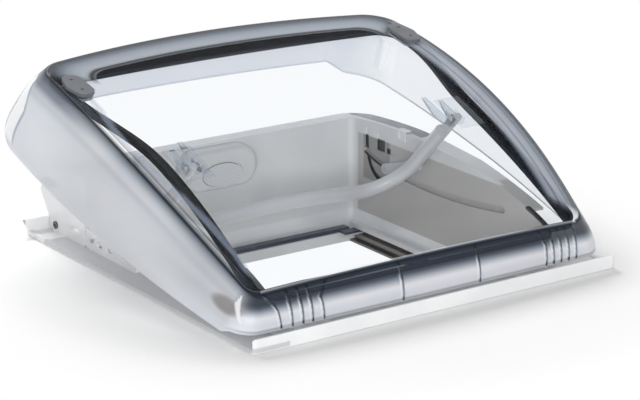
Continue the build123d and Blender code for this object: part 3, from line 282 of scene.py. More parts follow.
def coated_acrylic(name):
    """The dome's acrylic: clear over the window, and milky or smoked where the mesh's coat says so; the
    coat's colour also holds painted highlights and painted shade.
    """
    n = Nodes(bpy.data.materials.new(name))
    coat = n.add("ShaderNodeAttribute", attribute_name="coat")
    through = n.add("ShaderNodeBsdfTransparent")
    through.inputs["Color"].default_value = (0.97, 0.98, 0.99, 1)
    gloss = n.add("ShaderNodeBsdfGlossy")
    gloss.inputs["Roughness"].default_value = 0.03
    n.link(n.bump(n.noise(7.0, 2.0), 0.10, 0.002), gloss.inputs["Normal"])
    body = n.add("ShaderNodeBsdfPrincipled")
    body.inputs["Roughness"].default_value = 0.22
    body.inputs["Coat Weight"].default_value = 0.03
    body.inputs["Coat Roughness"].default_value = 0.05
    body.inputs["Specular IOR Level"].default_value = 0.16
    clouds = n.noise(11.0, 3.0, stretch=(1, 1, 2.2))
    shade = n.add("ShaderNodeMix", data_type="RGBA", blend_type="MULTIPLY")
    shade.inputs["Factor"].default_value = 1.0
    n.link(coat.outputs["Color"], shade.inputs["A"])
    n.link(n.ramp(clouds, [(0.3, (0.93, 0.94, 0.955)), (0.7, (1, 1, 1))]), shade.inputs["B"])
    n.link(shade.outputs["Result"], body.inputs["Base Color"])
    n.link(n.bump(n.noise(420.0, 2.0), 0.12, 0.00004), body.inputs["Normal"])
    window = n.blend(n.gloss_share(0.004, 0.25), through.outputs[0], gloss.outputs[0])
    back = n.add("ShaderNodeNewGeometry").outputs["Backfacing"]
    inside = n.add("ShaderNodeAttribute", attribute_name="inside").outputs["Fac"]
    cover = n.add("ShaderNodeMix", data_type="FLOAT")
    n.link(back, cover.inputs["Factor"])
    n.link(coat.outputs["Alpha"], cover.inputs["A"])
    n.link(inside, cover.inputs["B"])
    return n.finish(n.blend(cover.outputs["Result"], window, body.outputs[0]))


def meshed_button(name):
    """The lock button: pale grey with a fine crossed texture pressed in."""
    n = Nodes(bpy.data.materials.new(name))
    body = n.add("ShaderNodeBsdfPrincipled")
    lines = []
    for turn in (45, -45):
        place = n.add("ShaderNodeMapping")
        n.link(n.coords, place.inputs["Vector"])
        place.inputs["Rotation"].default_value = (0, math.radians(turn), 0)
        wave = n.add("ShaderNodeTexWave", wave_type="BANDS", bands_direction="X")
        wave.inputs["Scale"].default_value = 92.0
        n.link(place.outputs[0], wave.inputs["Vector"])
        lines.append(wave.outputs["Fac"])
    net = n.maths("MAXIMUM", *lines)
    greys = n.ramp(net, [(0.45, (0.54, 0.55, 0.57)), (0.9, (0.70, 0.71, 0.72))])
    n.link(greys, body.inputs["Base Color"])
    body.inputs["Roughness"].default_value = 0.5
    n.link(n.bump(net, 0.6, 0.0004), body.inputs["Normal"])
    return n.finish(body.outputs[0])


def woven(name, colour, weave):
    """Blind cloth: a close plain weave."""
    n = Nodes(bpy.data.materials.new(name))
    body = n.add("ShaderNodeBsdfPrincipled")
    threads = []
    for axis in ("X", "Y"):
        wave = n.add("ShaderNodeTexWave", wave_type="BANDS", bands_direction=axis)
        wave.inputs["Scale"].default_value = weave
        n.link(n.coords, wave.inputs["Vector"])
        threads.append(wave.outputs["Fac"])
    cloth = n.maths("MULTIPLY", *threads)
    dark = tuple(c * 0.7 for c in colour)
    n.link(n.ramp(cloth, [(0.2, dark), (0.8, colour)]), body.inputs["Base Color"])
    body.inputs["Roughness"].default_value = 0.85
    body.inputs["Sheen Weight"].default_value = 0.3
    n.link(n.bump(cloth, 0.5, 0.0002), body.inputs["Normal"])
    return n.finish(body.outputs[0])


# Zones of a piece with another colour: low corner and high corner in metres, None where open; most of
# them are painted shade

RIM_PAINTED_SHADE = linear(128, 132, 140)
SLOT_PAINTED_SHADOW = linear(14, 16, 24)
NAVY = linear(44, 52, 70)
WALL_PAINTED_SHADE = linear(184, 181, 178)
RAIL_PAINTED_SHADE = linear(92, 84, 78)
SEAL_GREY = linear(26, 32, 42)
SEAL_BLACK = linear(6, 8, 12)
FLANGE_SIDE_PAINTED_SHADE = linear(166, 167, 171)
GUTTER_PAINTED_SHADE = linear(196, 197, 200)
# Painted shade on the shaft: the right wall darker, the right rim's rear top grey, and a painted shadow
# in the J slot's depth
SHAFT_ZONES = [
    ((0.180, -0.19, -0.05), (None, 0.18, 0.07), WALL_PAINTED_SHADE),
    ((0.197, 0.06, 0.070), (None, None, None), RIM_PAINTED_SHADE),
    ((0.1912, 0.115, 0.016), (0.1932, 0.168, 0.07), SLOT_PAINTED_SHADOW),
]
SEAL_ZONES = [((None, None, None), (-0.12, 0.17, None), SEAL_BLACK)]
# Painted shade on the base flange: its left side face, and the gutter inside its left lip
FLANGE_ZONES = [
    ((None, None, -0.002), (-0.2494, None, 0.03), FLANGE_SIDE_PAINTED_SHADE),
    ((-0.2484, None, 0.002), (-0.2, 0.2, 0.0055), GUTTER_PAINTED_SHADE),
]
BAR_ZONES = [((-0.19, 0.16, -0.0545), (0.19, 0.2, -0.0505), NAVY)]
# Painted shade on the right rail's low end
RAIL_ZONES = [((0.178, None, None), (None, None, -0.056), RAIL_PAINTED_SHADE)]

MATERIALS = {
    "white_frame": plastic("white_frame", linear(232, 233, 234), 0.38, coat=0.25, zones=FLANGE_ZONES),
    "shaft_grey": plastic("shaft_grey", linear(222, 222, 222), 0.34, coat=0.25, zones=SHAFT_ZONES),
    "white_gloss": plastic("white_gloss", linear(232, 233, 234), 0.18, coat=0.6),
    "black_rubber": plastic("black_rubber", linear(8, 10, 14), 0.5, vary=0.25, shine=0.2),
    "seal_rubber": plastic("seal_rubber", SEAL_GREY, 0.5, vary=0.35, shine=0.12, zones=SEAL_ZONES),
    "button_mesh": meshed_button("button_mesh"),
    "spring_steel": metal("spring_steel", (0.5, 0.5, 0.5), 0.28),
    "zinc_steel": metal("zinc_steel", (0.62, 0.62, 0.6), 0.34),
    "grey_plastic": plastic("grey_plastic", linear(214, 214, 214), 0.42),
    "pull_bar": plastic("pull_bar", linear(222, 223, 224), 0.32, coat=0.3, zones=BAR_ZONES),
    "rail_grey": plastic("rail_grey", linear(218, 218, 218), 0.32, coat=0.3, zones=RAIL_ZONES),
    "blackout_cloth": woven("blackout_cloth", linear(206, 205, 200), 420.0),
    "screen_cloth": woven("screen_cloth", linear(70, 72, 76), 520.0),
    "tinted_acrylic": coated_acrylic("tinted_acrylic"),
    "clear_acrylic": clear("clear_acrylic", (0.985, 0.99, 0.995), haze=0.002, sheen=0.002),
    "bracket_acrylic": clear("bracket_acrylic", (0.93, 0.945, 0.96), haze=0.02, edge=0.75, sheen=0.05),
    "fin_acrylic": clear("fin_acrylic", (0.90, 0.92, 0.94), haze=0.16, edge=1.0, sheen=0.12),
    # A painted highlight for the clear fins' lower edges
    "fin_painted_highlight": plastic("fin_painted_highlight", linear(236, 239, 244), 0.2, coat=0.5, vary=0.08),
    "handle_grey": plastic("handle_grey", linear(198, 198, 200), 0.36, coat=0.3),
    "cap_grey": plastic("cap_grey", linear(104, 107, 112), 0.5, grain=1300.0, vary=0.07),
    "pad_grey": plastic("pad_grey", linear(150, 153, 158), 0.4),
    "dark_trim": plastic("dark_trim", linear(40, 42, 46), 0.3, coat=0.3, vary=0.15),
    "screw_cap": plastic("screw_cap", linear(60, 62, 66), 0.3, coat=0.4),
}

NODE_MATERIAL = {
    "base_flange": "white_frame", "roof_seal": "black_rubber", "collar": "shaft_grey",
    "front_trim": "dark_trim", "lock_housing": "grey_plastic", "lock_button": "button_mesh",
    "button_spring": "spring_steel", "latch_tongue": "grey_plastic", "blind_frame": "white_gloss",
    "blackout_bar": "pull_bar", "blackout_pleats": "blackout_cloth", "screen_bar": "pull_bar",
    "screen_pleats": "screen_cloth", "clamp_brackets": "zinc_steel", "clamp_screws": "zinc_steel",
    "inner_pane": "clear_acrylic", "pane_spacer": "black_rubber", "dome_seal": "seal_rubber",
    "bow_handle": "handle_grey",
}
PAIR_MATERIAL = {
    "blind_rail": "rail_grey", "wall_clip": "white_gloss", "corner_housing": "white_gloss",
    "bumper": "black_rubber", "housing_screw": "screw_cap", "side_bracket": "white_gloss",
    "hinge_base": "white_frame", "hinge_pin": "zinc_steel", "hinge_leaf": "zinc_steel",
    "cap": "cap_grey", "cap_pad": "pad_grey", "cap_screws": "screw_cap", "dome_boss": "bracket_acrylic",
    "bow_bracket": "bracket_acrylic", "bow_pivot": "handle_grey", "guide_pin": "zinc_steel",
}


def material_of(node):
    """The material of a CAD node; a left and a right one share theirs."""
    return MATERIALS[NODE_MATERIAL.get(node) or PAIR_MATERIAL[node.rsplit("_", 1)[0]]]


def dress(obj, material):
    """Gives every face of a CAD node the material."""
    if not obj.material_slots:
        obj.data.materials.append(None)
    for place in obj.material_slots:
        place.link = "OBJECT"
        place.material = material


SHARP_ANGLE = 32


def soften(obj):
    """Smooth shading over curved faces, with the hard edges kept."""
    for face in obj.data.polygons:
        face.use_smooth = True
    split = obj.modifiers.new("edges", "EDGE_SPLIT")
    split.split_angle = math.radians(SHARP_ANGLE)


for name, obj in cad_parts.items():
    if name != "outer_dome":
        dress(obj, material_of(name))
        soften(obj)


# Dome shell

PANE_FRONT = Vector((0, -200.0, 50.1))
PANE_REAR = Vector((0, 240.8, 111.6))
PANE_RUN = PANE_REAR.y - PANE_FRONT.y
PANE_RISE = PANE_REAR.z - PANE_FRONT.z
PANE_SLOPE = math.atan2(PANE_RISE, PANE_RUN)
PANE_HALF_FRONT = 224.5
PANE_WIDENING = 17.0
PANE_SIDE_BOW = 17.6
PANE_CROWN = 24.5
PANE_REAR_BOW = 26.2
PANE_FRONT_BOW = 3.5
PANE_FRONT_RISE = 6.7
FOOT_Z = 8.0
FOOT_FRONT_Y = -221.0
FOOT_RUN = 517.0
FOOT_HALF_FRONT = 246.0
FOOT_WIDENING = 16.0
FOOT_SIDE_BOW = 20.0
FOOT_REAR_BOW = 10.0
FOOT_FRONT_BOW = 1.75


def pane_point(s, t):
    """A point of the pane's outer face: s from -1 to 1 across, t from 0 at the front to 1 at the rear."""
    hump = 4 * t * (1 - t)
    middle = 1 - s * s
    half = PANE_HALF_FRONT + PANE_WIDENING * t + PANE_SIDE_BOW * hump
    y = PANE_FRONT.y + PANE_RUN * t - math.sin(PANE_SLOPE) * PANE_CROWN * hump
    y += middle * (PANE_REAR_BOW * t - PANE_FRONT_BOW * (1 - t))
    z = PANE_FRONT.z + PANE_RISE * t + math.cos(PANE_SLOPE) * PANE_CROWN * hump
    z += middle * PANE_FRONT_RISE * (1 - t)
    return Vector((s * half, y, z))


def foot_point(s, t):
    """A point of the area inside the dome's foot, placed like a point of the pane."""
    half = FOOT_HALF_FRONT + FOOT_WIDENING * t + FOOT_SIDE_BOW * 4 * t * (1 - t)
    bow = FOOT_REAR_BOW * t - FOOT_FRONT_BOW * (1 - t)
    return Vector((s * half, FOOT_FRONT_Y + FOOT_RUN * t + (1 - s * s) * bow, FOOT_Z))


FRONT_STEPS = 420
SIDE_STEPS = 190
REAR_STEPS = 130
CORNER_STEPS = 22


def perimeter(front_radius, rear_radius, front_half, rear_half, run):
    """Places (s, t) round a rounded rectangle, from the left end of the front, to the right first."""
    front_s, front_t = front_radius / front_half, front_radius / run
    rear_s, rear_t = rear_radius / rear_half, rear_radius / run
    sides = (
        (FRONT_STEPS, (-1 + front_s, 0.0), (1 - front_s, 0.0)),
        (SIDE_STEPS, (1.0, front_t), (1.0, 1 - rear_t)),
        (REAR_STEPS, (1 - rear_s, 1.0), (-1 + rear_s, 1.0)),
        (SIDE_STEPS, (-1.0, 1 - rear_t), (-1.0, front_t)),
    )
    corners = (
        (1 - front_s, front_t, front_s, front_t),
        (1 - rear_s, 1 - rear_t, rear_s, rear_t),
        (-1 + rear_s, 1 - rear_t, rear_s, rear_t),
        (-1 + front_s, front_t, front_s, front_t),
    )
    places = []
    for quarter, ((steps, start, end), (s, t, reach_s, reach_t)) in enumerate(zip(sides, corners)):
        for i in range(steps):
            places.append((mix(start[0], end[0], i / steps), mix(start[1], end[1], i / steps)))
        for i in range(CORNER_STEPS):
            turn = math.pi / 2 * (quarter - 1 + i / CORNER_STEPS)
            places.append((s + reach_s * math.cos(turn), t + reach_t * math.sin(turn)))
    return places


PANE_HALF_REAR = PANE_HALF_FRONT + PANE_WIDENING
FOOT_HALF_REAR = FOOT_HALF_FRONT + FOOT_WIDENING
CREASE_RADII = (12.0, 27.0)
FOOT_RADII = (24.0, 55.0)
CREASE = perimeter(*CREASE_RADII, PANE_HALF_FRONT, PANE_HALF_REAR, PANE_RUN)
FOOT = perimeter(*FOOT_RADII, FOOT_HALF_FRONT, FOOT_HALF_REAR, FOOT_RUN)

# The pane's rings of points, in mm in from the crease
INSETS = [
    2.2, 3.5, 5, 6.5, 8, 10, 12, 15, 18, 21, 24, 27, 30, 33, 36, 39, 42, 44, 46, 48,
    56, 70, 88, 112, 140, 172, 200,
]

# Rounded crease and skirt: reach and rows of points, and how far the skirt swells outward
CREASE_REACH = 2.2
FILLET_ROWS = 6
SKIRT_ROWS = 40
SWELL_FRONT = 6.0
SWELL_SIDE = 10.0
SWELL_REAR = 4.5
SIDE_SWELL_START = (0.0, 0.3)
REAR_SWELL_START = (0.75, 0.95)

# The low bulge round a rear corner: height, and where it starts and ends along the crease
BELLY = 4.6
BELLY_START = (-110, -15)
BELLY_END = (22, 60)

# The foot's lift over the front flange, and over the rear relief: height, and where it fades out
FRONT_LIFT = 5.6
FRONT_LIFT_END = (-205, -190)
REAR_LIFT = 16.0
REAR_LIFT_Y = 262
REAR_LIFT_END = (206, 240)

# The front skirt's ribs: place at the foot, and how far they stray from it, from crease (0) to foot (1)
RIBBED_Y = -200
RIB_RISE = 1.2
RIB_REACH = 2.6
RIB_FLAT = 0.7
RIB_GROUP = 5
RIBS = {
    -195.5: ((0.0, -17.0), (0.3, -6.5), (0.47, -3.0), (1.0, 0.0)),
    -182.0: ((0.0, -2.5), (0.5, -0.7), (1.0, 0.0)),
    -168.5: ((0.0, -2.5), (0.5, -0.7), (1.0, 0.0)),
    -156.5: ((0.0, -2.5), (0.5, -0.7), (1.0, 0.0)),
    -142.0: ((0.0, 9.5), (0.37, -3.0), (0.5, -1.6), (1.0, 0.0)),
    -39.5: ((0.0, -1.2), (1.0, 0.0)),
    65.0: ((0.0, -1.0), (1.0, 0.0)),
    160.0: ((0.0, -5.0), (0.4, 1.0), (1.0, 0.0)),
    171.0: ((0.0, 0.5), (1.0, 0.0)),
    182.0: ((0.0, 1.0), (1.0, 0.0)),
    193.0: ((0.0, 1.5), (1.0, 0.0)),
    204.0: ((0.0, 2.0), (1.0, 0.0)),
}


def along(stops, place):
    """A value at a place, from a list of (place, value); a value may be a colour."""
    for (a, low), (b, high) in zip(stops, stops[1:]):
        if place <= b:
            share = max(0.0, (place - a) / (b - a))
            if isinstance(low, tuple):
                return [mix(x, y, share) for x, y in zip(low, high)]
            return mix(low, high, share)
    return stops[-1][1]


def inset_point(place, inset):
    """A point of the pane, about inset mm in from a place of the crease."""
    s, t = place
    half = (PANE_HALF_FRONT + PANE_HALF_REAR) / 2
    return pane_point(s * (1 - inset / half), 0.5 + (t - 0.5) * (1 - 2 * inset / PANE_RUN))


def column(i):
    """The skirt's line from the crease to the foot, at one place of the perimeter."""
    top = pane_point(*CREASE[i])
    bottom = foot_point(*FOOT[i])
    out = Vector((bottom.x - top.x, bottom.y - top.y, 0))
    if out.length < 0.1:
        out = Vector((0, 1, 0))
    out.normalize()
    t = CREASE[i][1]
    swell = mix(SWELL_FRONT, SWELL_SIDE, smooth(*SIDE_SWELL_START, t))
    swell += SWELL_REAR * smooth(*REAR_SWELL_START, t)
    return top, bottom, out, swell


def skirt_start(i):
    """Where the skirt starts below the rounded crease."""
    return CREASE_REACH / (foot_point(*FOOT[i]) - pane_point(*CREASE[i])).length


# Where a rear corner starts along the side, its length round the bend, and half the rear's length
CORNER_START = 0.939
CORNER_ARC = 42.4
PANE_REAR_SPAN = 214.0


def rear_corner(i):
    """How far round a rear corner a place is: 0 at the flank, 1 at the rear, and -1 elsewhere."""
    right = FRONT_STEPS + CORNER_STEPS + SIDE_STEPS
    left = right + CORNER_STEPS + REAR_STEPS
    if right <= i < right + CORNER_STEPS:
        return (i - right) / CORNER_STEPS
    if left <= i < left + CORNER_STEPS:
        return 1 - (i - left) / CORNER_STEPS
    return -1.0


def corner_distance(i):
    """Millimetres along the crease from where the nearer rear corner starts: negative on the flank."""
    turn = rear_corner(i)
    if turn >= 0:
        return CORNER_ARC * turn
    s, t = CREASE[i]
    if t >= 1.0:
        return CORNER_ARC + PANE_REAR_SPAN * (1 - abs(s))
    return (t - CORNER_START) * PANE_RUN


def belly(i):
    """How much the skirt bulges low down, round a rear corner."""
    q = corner_distance(i)
    return BELLY * smooth(*BELLY_START, q) * (1 - smooth(*BELLY_END, q))


def foot_lift(x, y):
    """How far the foot is lifted over the front flange and over the rear relief."""
    if y > REAR_LIFT_Y:
        return REAR_LIFT * (1 - smooth(*REAR_LIFT_END, abs(x)))
    return FRONT_LIFT * (1 - smooth(*FRONT_LIFT_END, y))


def skirt_point(i, w):
    """A point of the skirt: w from 0 at the crease to 1 at the foot."""
    top, bottom, out, swell = column(i)
    lift = foot_lift(bottom.x, bottom.y)
    w *= 1 - lift / (top.z - bottom.z)
    low = w ** 4
    point = top.lerp(bottom, w) + out * (swell * 4 * w * (1 - w) + belly(i) * 4 * low * (1 - low))
    if bottom.y < RIBBED_Y:
        for x, path in RIBS.items():
            near = abs(point.x - x - along(path, w))
            if near < RIB_REACH:
                rise = RIB_RISE * (1 - smooth(RIB_FLAT, RIB_REACH, near)) * smooth(0.02, 0.10, w)
                point += Vector((0, -rise, 0.3 * rise))
    return point


def crease_point(i, u):
    """A point of the rounded crease: u from 0 at the pane to 1 at the skirt."""
    a = inset_point(CREASE[i], INSETS[0])
    b = pane_point(*CREASE[i])
    c = skirt_point(i, skirt_start(i))
    return a * (1 - u) ** 2 + b * 2 * u * (1 - u) + c * u ** 2


def lip_point(i, inward, up):
    """A point of the lower lip, some way inward and up from the foot."""
    top, bottom, out, swell = column(i)
    return skirt_point(i, 1.0) - out * inward + (top - bottom).normalized() * up


def tones(*stops):
    """Places with colours as seen on a screen, for along."""
    return [(place, linear(*colour)) for place, colour in stops]


# Tones down the skirt, from the crease (0) to the foot (1); at the front, the dark band just below the
# crease paints the black seal seen through the acrylic
FRONT_TONES = tones(
    (0.0, (16, 20, 28)), (0.06, (22, 28, 38)), (0.11, (44, 52, 64)), (0.17, (36, 44, 56)),
    (0.27, (36, 44, 56)), (0.34, (70, 78, 90)), (0.41, (128, 136, 147)), (0.50, (190, 193, 198)),
    (0.58, (224, 225, 230)), (0.75, (220, 221, 226)), (0.86, (228, 229, 235)), (0.90, (206, 208, 213)),
    (0.925, (160, 163, 169)), (0.95, (210, 211, 215)), (1.0, (214, 215, 219)),
)
SIDE_REAR = tones(
    (0.0, (40, 48, 58)), (0.04, (80, 88, 100)), (0.08, (118, 126, 138)), (0.12, (126, 134, 146)),
    (0.155, (172, 176, 182)), (0.19, (200, 205, 211)), (0.23, (198, 205, 214)), (0.27, (214, 218, 224)),
    (0.31, (223, 225, 231)), (0.45, (225, 228, 232)), (0.7, (222, 225, 230)), (1.0, (214, 217, 222)),
)
# The light step at 0.16 is a painted highlight streak along the flank, parallel to the crease
SIDE_MIDDLE = tones(
    (0.0, (40, 48, 58)), (0.025, (84, 92, 104)), (0.055, (142, 150, 158)), (0.11, (194, 198, 206)),
    (0.16, (210, 212, 216)), (0.22, (193, 197, 203)), (0.28, (207, 209, 213)), (0.4, (210, 212, 216)),
    (0.8, (210, 212, 216)), (1.0, (206, 208, 212)),
)
SIDE_FRONT = tones(
    (0.0, (40, 48, 58)), (0.03, (84, 92, 102)), (0.09, (152, 158, 166)), (0.18, (188, 191, 195)),
    (0.27, (184, 187, 192)), (0.36, (196, 198, 203)), (0.5, (190, 192, 197)), (0.68, (203, 205, 209)),
    (0.8, (215, 218, 223)), (1.0, (224, 226, 232)),
)
REAR_TONES = tones(
    (0.0, (60, 68, 82)), (0.06, (120, 128, 144)), (0.3, (172, 180, 198)), (0.6, (190, 197, 213)),
    (1.0, (204, 209, 220)),
)
# Painted shade down the ribs' grooves
RIB_PAINTED_SHADE = tones(
    (0.0, (6, 10, 18)), (0.35, (22, 30, 44)), (0.5, (84, 96, 114)), (0.8, (120, 132, 150)),
    (0.88, (8, 12, 20)),
)

# Tones of the pane's margin, in mm in from the crease
REAR_MARGIN = tones(
    (2, (16, 20, 28)), (8, (50, 59, 72)), (15, (100, 109, 122)), (21, (134, 142, 153)),
    (27, (150, 157, 166)), (36, (162, 170, 180)), (39, (150, 158, 168)), (42, (20, 23, 30)),
    (44, (14, 16, 22)), (46, (84, 93, 106)),
)
RIGHT_MARGIN = tones(
    (2, (30, 36, 46)), (5, (74, 84, 98)), (8, (130, 139, 152)), (10, (104, 113, 128)),
    (12, (150, 158, 170)), (18, (168, 176, 187)), (21, (120, 129, 143)), (24, (170, 177, 188)),
    (28, (150, 158, 170)), (33, (66, 76, 90)),
)
LEFT_BAND = linear(158, 170, 192)

# Tones over the rounded crease, from the pane (0) to the skirt (1): a dark line along the crease, and at
# the front a painted highlight on the pane's rounded edge before it
EDGE_TONES = tones((0.0, (150, 160, 174)), (0.25, (58, 66, 78)), (0.5, (26, 32, 42)), (1.0, (30, 37, 48)))
FRONT_EDGE = tones(
    (0.0, (236, 239, 243)), (0.35, (236, 239, 243)), (0.6, (90, 98, 110)), (1.0, (16, 20, 28)),
)

# Painted highlight beside each rib
RIB_PAINTED_HIGHLIGHT = linear(232, 235, 240)
PAD_TONE = linear(196, 198, 202)
GLINT = linear(255, 255, 255)
GLINT_EDGE = linear(140, 152, 176)
CORNER_DARK_PATCH = linear(122, 117, 112)
# The spark is a painted highlight
SPARK = linear(240, 240, 242)
LEFT_LINE = linear(26, 32, 42)

# Bright streak down the rear corners: reach, then centre and half width above and below its bend
GLINT_REACH = 40
GLINT_CENTRE = (16.0, -3.0)
GLINT_HALF = (5.0, 9.0)
GLINT_BEND = (0.08, 0.5)

# Parts of a flank, from front (0) to rear (1), over which one row of tones gives way to the next
FRONT_FADE = (0.0, 0.035)
MIDDLE_FADE = (0.12, 0.35)
SIDE_REAR_FADE = (0.6, 0.85)
REAR_FADE = (0.97, 1.0)
PATCH_AND_SPARK_END = 0.14

# Ends of the ribs and of the pads between them, from the crease (0) to the foot (1)
NOTCH_START = 0.84
RIB_END = (0.945, 0.96)
PAD_START = (0.855, 0.87)
PAD_END = (0.925, 0.945)
PAD_GAP = 1.6

# Mirrored line and waving band along the pane's left edge, in mm in from the crease
LINE_INSET = 7.0
BAND_INSET = 16.0
BAND_WAVE = 5.0
BAND_WAVES = 9.0

# At the front of the flanks, as (y, z) in mm: a darker brownish patch, and a spark, a painted highlight
# that narrows downwards
CORNER_PATCH_PLACE = (-186, 35)
CORNER_PATCH_HALF = (24, 9)
CORNER_PATCH_TILT = 0.1
SPARK_TOP = (-196, 41)
SPARK_END = (-208, 26)
SPARK_HALF = (4.5, 1.5)


def paint(tone, colour, share):
    """A tone with a share of another colour over it."""
    return [mix(a, b, share) for a, b in zip(tone, colour)]


def glint_on(tone, i, w):
    """The bright streak down the rear corners, with a bluish edge on each side."""
    q = corner_distance(i)
    if abs(q) >= GLINT_REACH:
        return tone
    centre = mix(*GLINT_CENTRE, smooth(*GLINT_BEND, w))
    half = mix(*GLINT_HALF, smooth(*GLINT_BEND, w))
    long = smooth(0.10, 0.13, w) * (1 - smooth(0.80, 0.90, w))
    off = abs(q - centre)
    edge = smooth(half, half + 1.2, off) * (1 - smooth(half + 2.5, half + 5, off))
    tone = paint(tone, GLINT, long * (1 - smooth(half - 0.5, half + 1.0, off)))
    return paint(tone, GLINT_EDGE, 0.75 * edge * long)


def ribs_on(tone, w, x):
    """Painted shade down the ribs that fan out from the crease, a painted highlight beside each, a dark
    notch at the foot and pads between them.
    """
    for rib, path in RIBS.items():
        off = x - rib - along(path, w)
        wide = 1.0 if w > NOTCH_START else mix(1.5, 0.8, smooth(0.2, 0.55, w))
        dark = (1 - smooth(wide, wide + 0.9, abs(off))) * (1 - smooth(*RIB_END, w))
        beside = 1 - smooth(0.5, 1.5, abs(off + wide + 1.5))
        light = beside * smooth(0.25, 0.5, w) * (1 - smooth(0.84, 0.88, w))
        tone = paint(tone, RIB_PAINTED_HIGHLIGHT, 0.6 * light)
        tone = paint(tone, along(RIB_PAINTED_SHADE, w), 0.95 * dark)
    if w <= PAD_START[0]:
        return tone
    pad = smooth(*PAD_START, w) * (1 - smooth(*PAD_END, w))
    ribs = list(RIBS)
    for group in (ribs[:RIB_GROUP], ribs[-RIB_GROUP:]):
        for low, high in zip(group, group[1:]):
            if low + PAD_GAP < x < high - PAD_GAP:
                tone = paint(tone, PAD_TONE, 0.8 * pad)
    return tone


def patch_and_spark_on(tone, place):
    """The darker patch, and the spark, a painted highlight, at the front of the flanks."""
    off_y = place.y - CORNER_PATCH_PLACE[0]
    off_z = place.z - CORNER_PATCH_PLACE[1] - CORNER_PATCH_TILT * off_y
    dark_patch = (off_y / CORNER_PATCH_HALF[0]) ** 2 + (off_z / CORNER_PATCH_HALF[1]) ** 2
    tone = paint(tone, CORNER_DARK_PATCH, 0.75 * (1 - smooth(0.2, 1.0, dark_patch)))
    share = (place.y - SPARK_TOP[0]) / (SPARK_END[0] - SPARK_TOP[0])
    if not -0.2 < share < 1.1:
        return tone
    off = abs(place.z - mix(SPARK_TOP[1], SPARK_END[1], share)) / mix(*SPARK_HALF, share)
    return paint(tone, SPARK, 0.85 * (1 - smooth(0.6, 1.1, off)))


# Coat of the acrylic at a point: its colour and cover from outside, and its cover from inside; the colour
# carries painted highlights and painted shade besides the tint

def skirt_coat(i, w, place):
    """Coat of the skirt, w from the crease (0) to the foot (1)."""
    t = CREASE[i][1]
    front = 1 - smooth(*FRONT_FADE, t)
    tone = paint(along(SIDE_FRONT, w), along(SIDE_MIDDLE, w), smooth(*MIDDLE_FADE, t))
    tone = paint(tone, along(SIDE_REAR, w), smooth(*SIDE_REAR_FADE, t))
    tone = paint(tone, along(REAR_TONES, w), smooth(*REAR_FADE, t))
    tone = paint(tone, along(FRONT_TONES, w), front)
    tone = glint_on(tone, i, w)
    if t < PATCH_AND_SPARK_END:
        tone = patch_and_spark_on(tone, place)
    if front > 0.3:
        tone = ribs_on(tone, w, place.x)
    side_inside = mix(0.62, 0.16, smooth(0.02, 0.4, w))
    rear_inside = mix(0.75, 0.5, smooth(0.1, 0.9, w))
    inside = mix(mix(side_inside, rear_inside, smooth(0.92, 1.0, t)), 0.85, front)
    return (*tone, mix(0.94, 0.92, front)), inside


def crease_coat(i, w):
    """Coat of the rounded crease, w from the pane (0) to the skirt (1)."""
    if CREASE[i][1] <= 0.0:
        cover = mix(0.35, 0.96, smooth(0.3, 0.8, w))
        return (*along(FRONT_EDGE, w), cover), cover
    cover = mix(0.45, 0.97, smooth(0.0, 0.3, w))
    return (*along(EDGE_TONES, w), cover), cover


def pane_coat(i, inset):
    """Coat of the pane, inset mm in from the crease: a margin that fades into the clear middle."""
    s, t = CREASE[i]
    fade = smooth(0.0, 0.04, t)
    if t >= 0.88:
        tone = along(REAR_MARGIN, inset)
        cover = 0.97 * smooth(0.90, 0.97, t) * (1 - smooth(46, 48, inset))
    elif s > 0:
        tone = along(RIGHT_MARGIN, inset)
        cover = fade * 0.88 * (1 - smooth(31, 36, inset))
    else:
        wave = BAND_INSET + BAND_WAVE * math.sin(BAND_WAVES * t)
        line = 1 - smooth(0.8, 2.0, abs(inset - LINE_INSET))
        band = 1 - smooth(2.5, 5.0, abs(inset - wave))
        edge = 1 - smooth(3, 5, inset)
        tone = paint(LEFT_BAND, LEFT_LINE, max(line, edge))
        cover = max(0.55 * edge, 0.5 * line, 0.45 * band) * fade
    return (*tone, cover), cover


# The dome's lower lip, below the foot: steps inward and up
LIP_STEPS = ((0.6, -0.4), (2.4, -0.4), (3.0, 0.6), (3.1, 3.0))


def with_skirt_coat(i, w, point):
    """A point of the skirt and its coat."""
    return point, skirt_coat(i, w, point)


def shell_rings():
    """The dome's rings from the pane's middle out: points, each with its coat, round the perimeter."""
    around = range(len(CREASE))
    for inset in reversed(INSETS):
        yield [(inset_point(CREASE[i], inset), pane_coat(i, inset)) for i in around]
    for k in range(1, FILLET_ROWS):
        u = k / FILLET_ROWS
        yield [(crease_point(i, u), crease_coat(i, u)) for i in around]
    for k in range(SKIRT_ROWS + 1):
        places = [mix(skirt_start(i), 1.0, k / SKIRT_ROWS) for i in around]
        yield [with_skirt_coat(i, w, skirt_point(i, w)) for i, w in enumerate(places)]
    for inward, up in LIP_STEPS:
        yield [with_skirt_coat(i, 1.0, lip_point(i, inward, up)) for i in around]


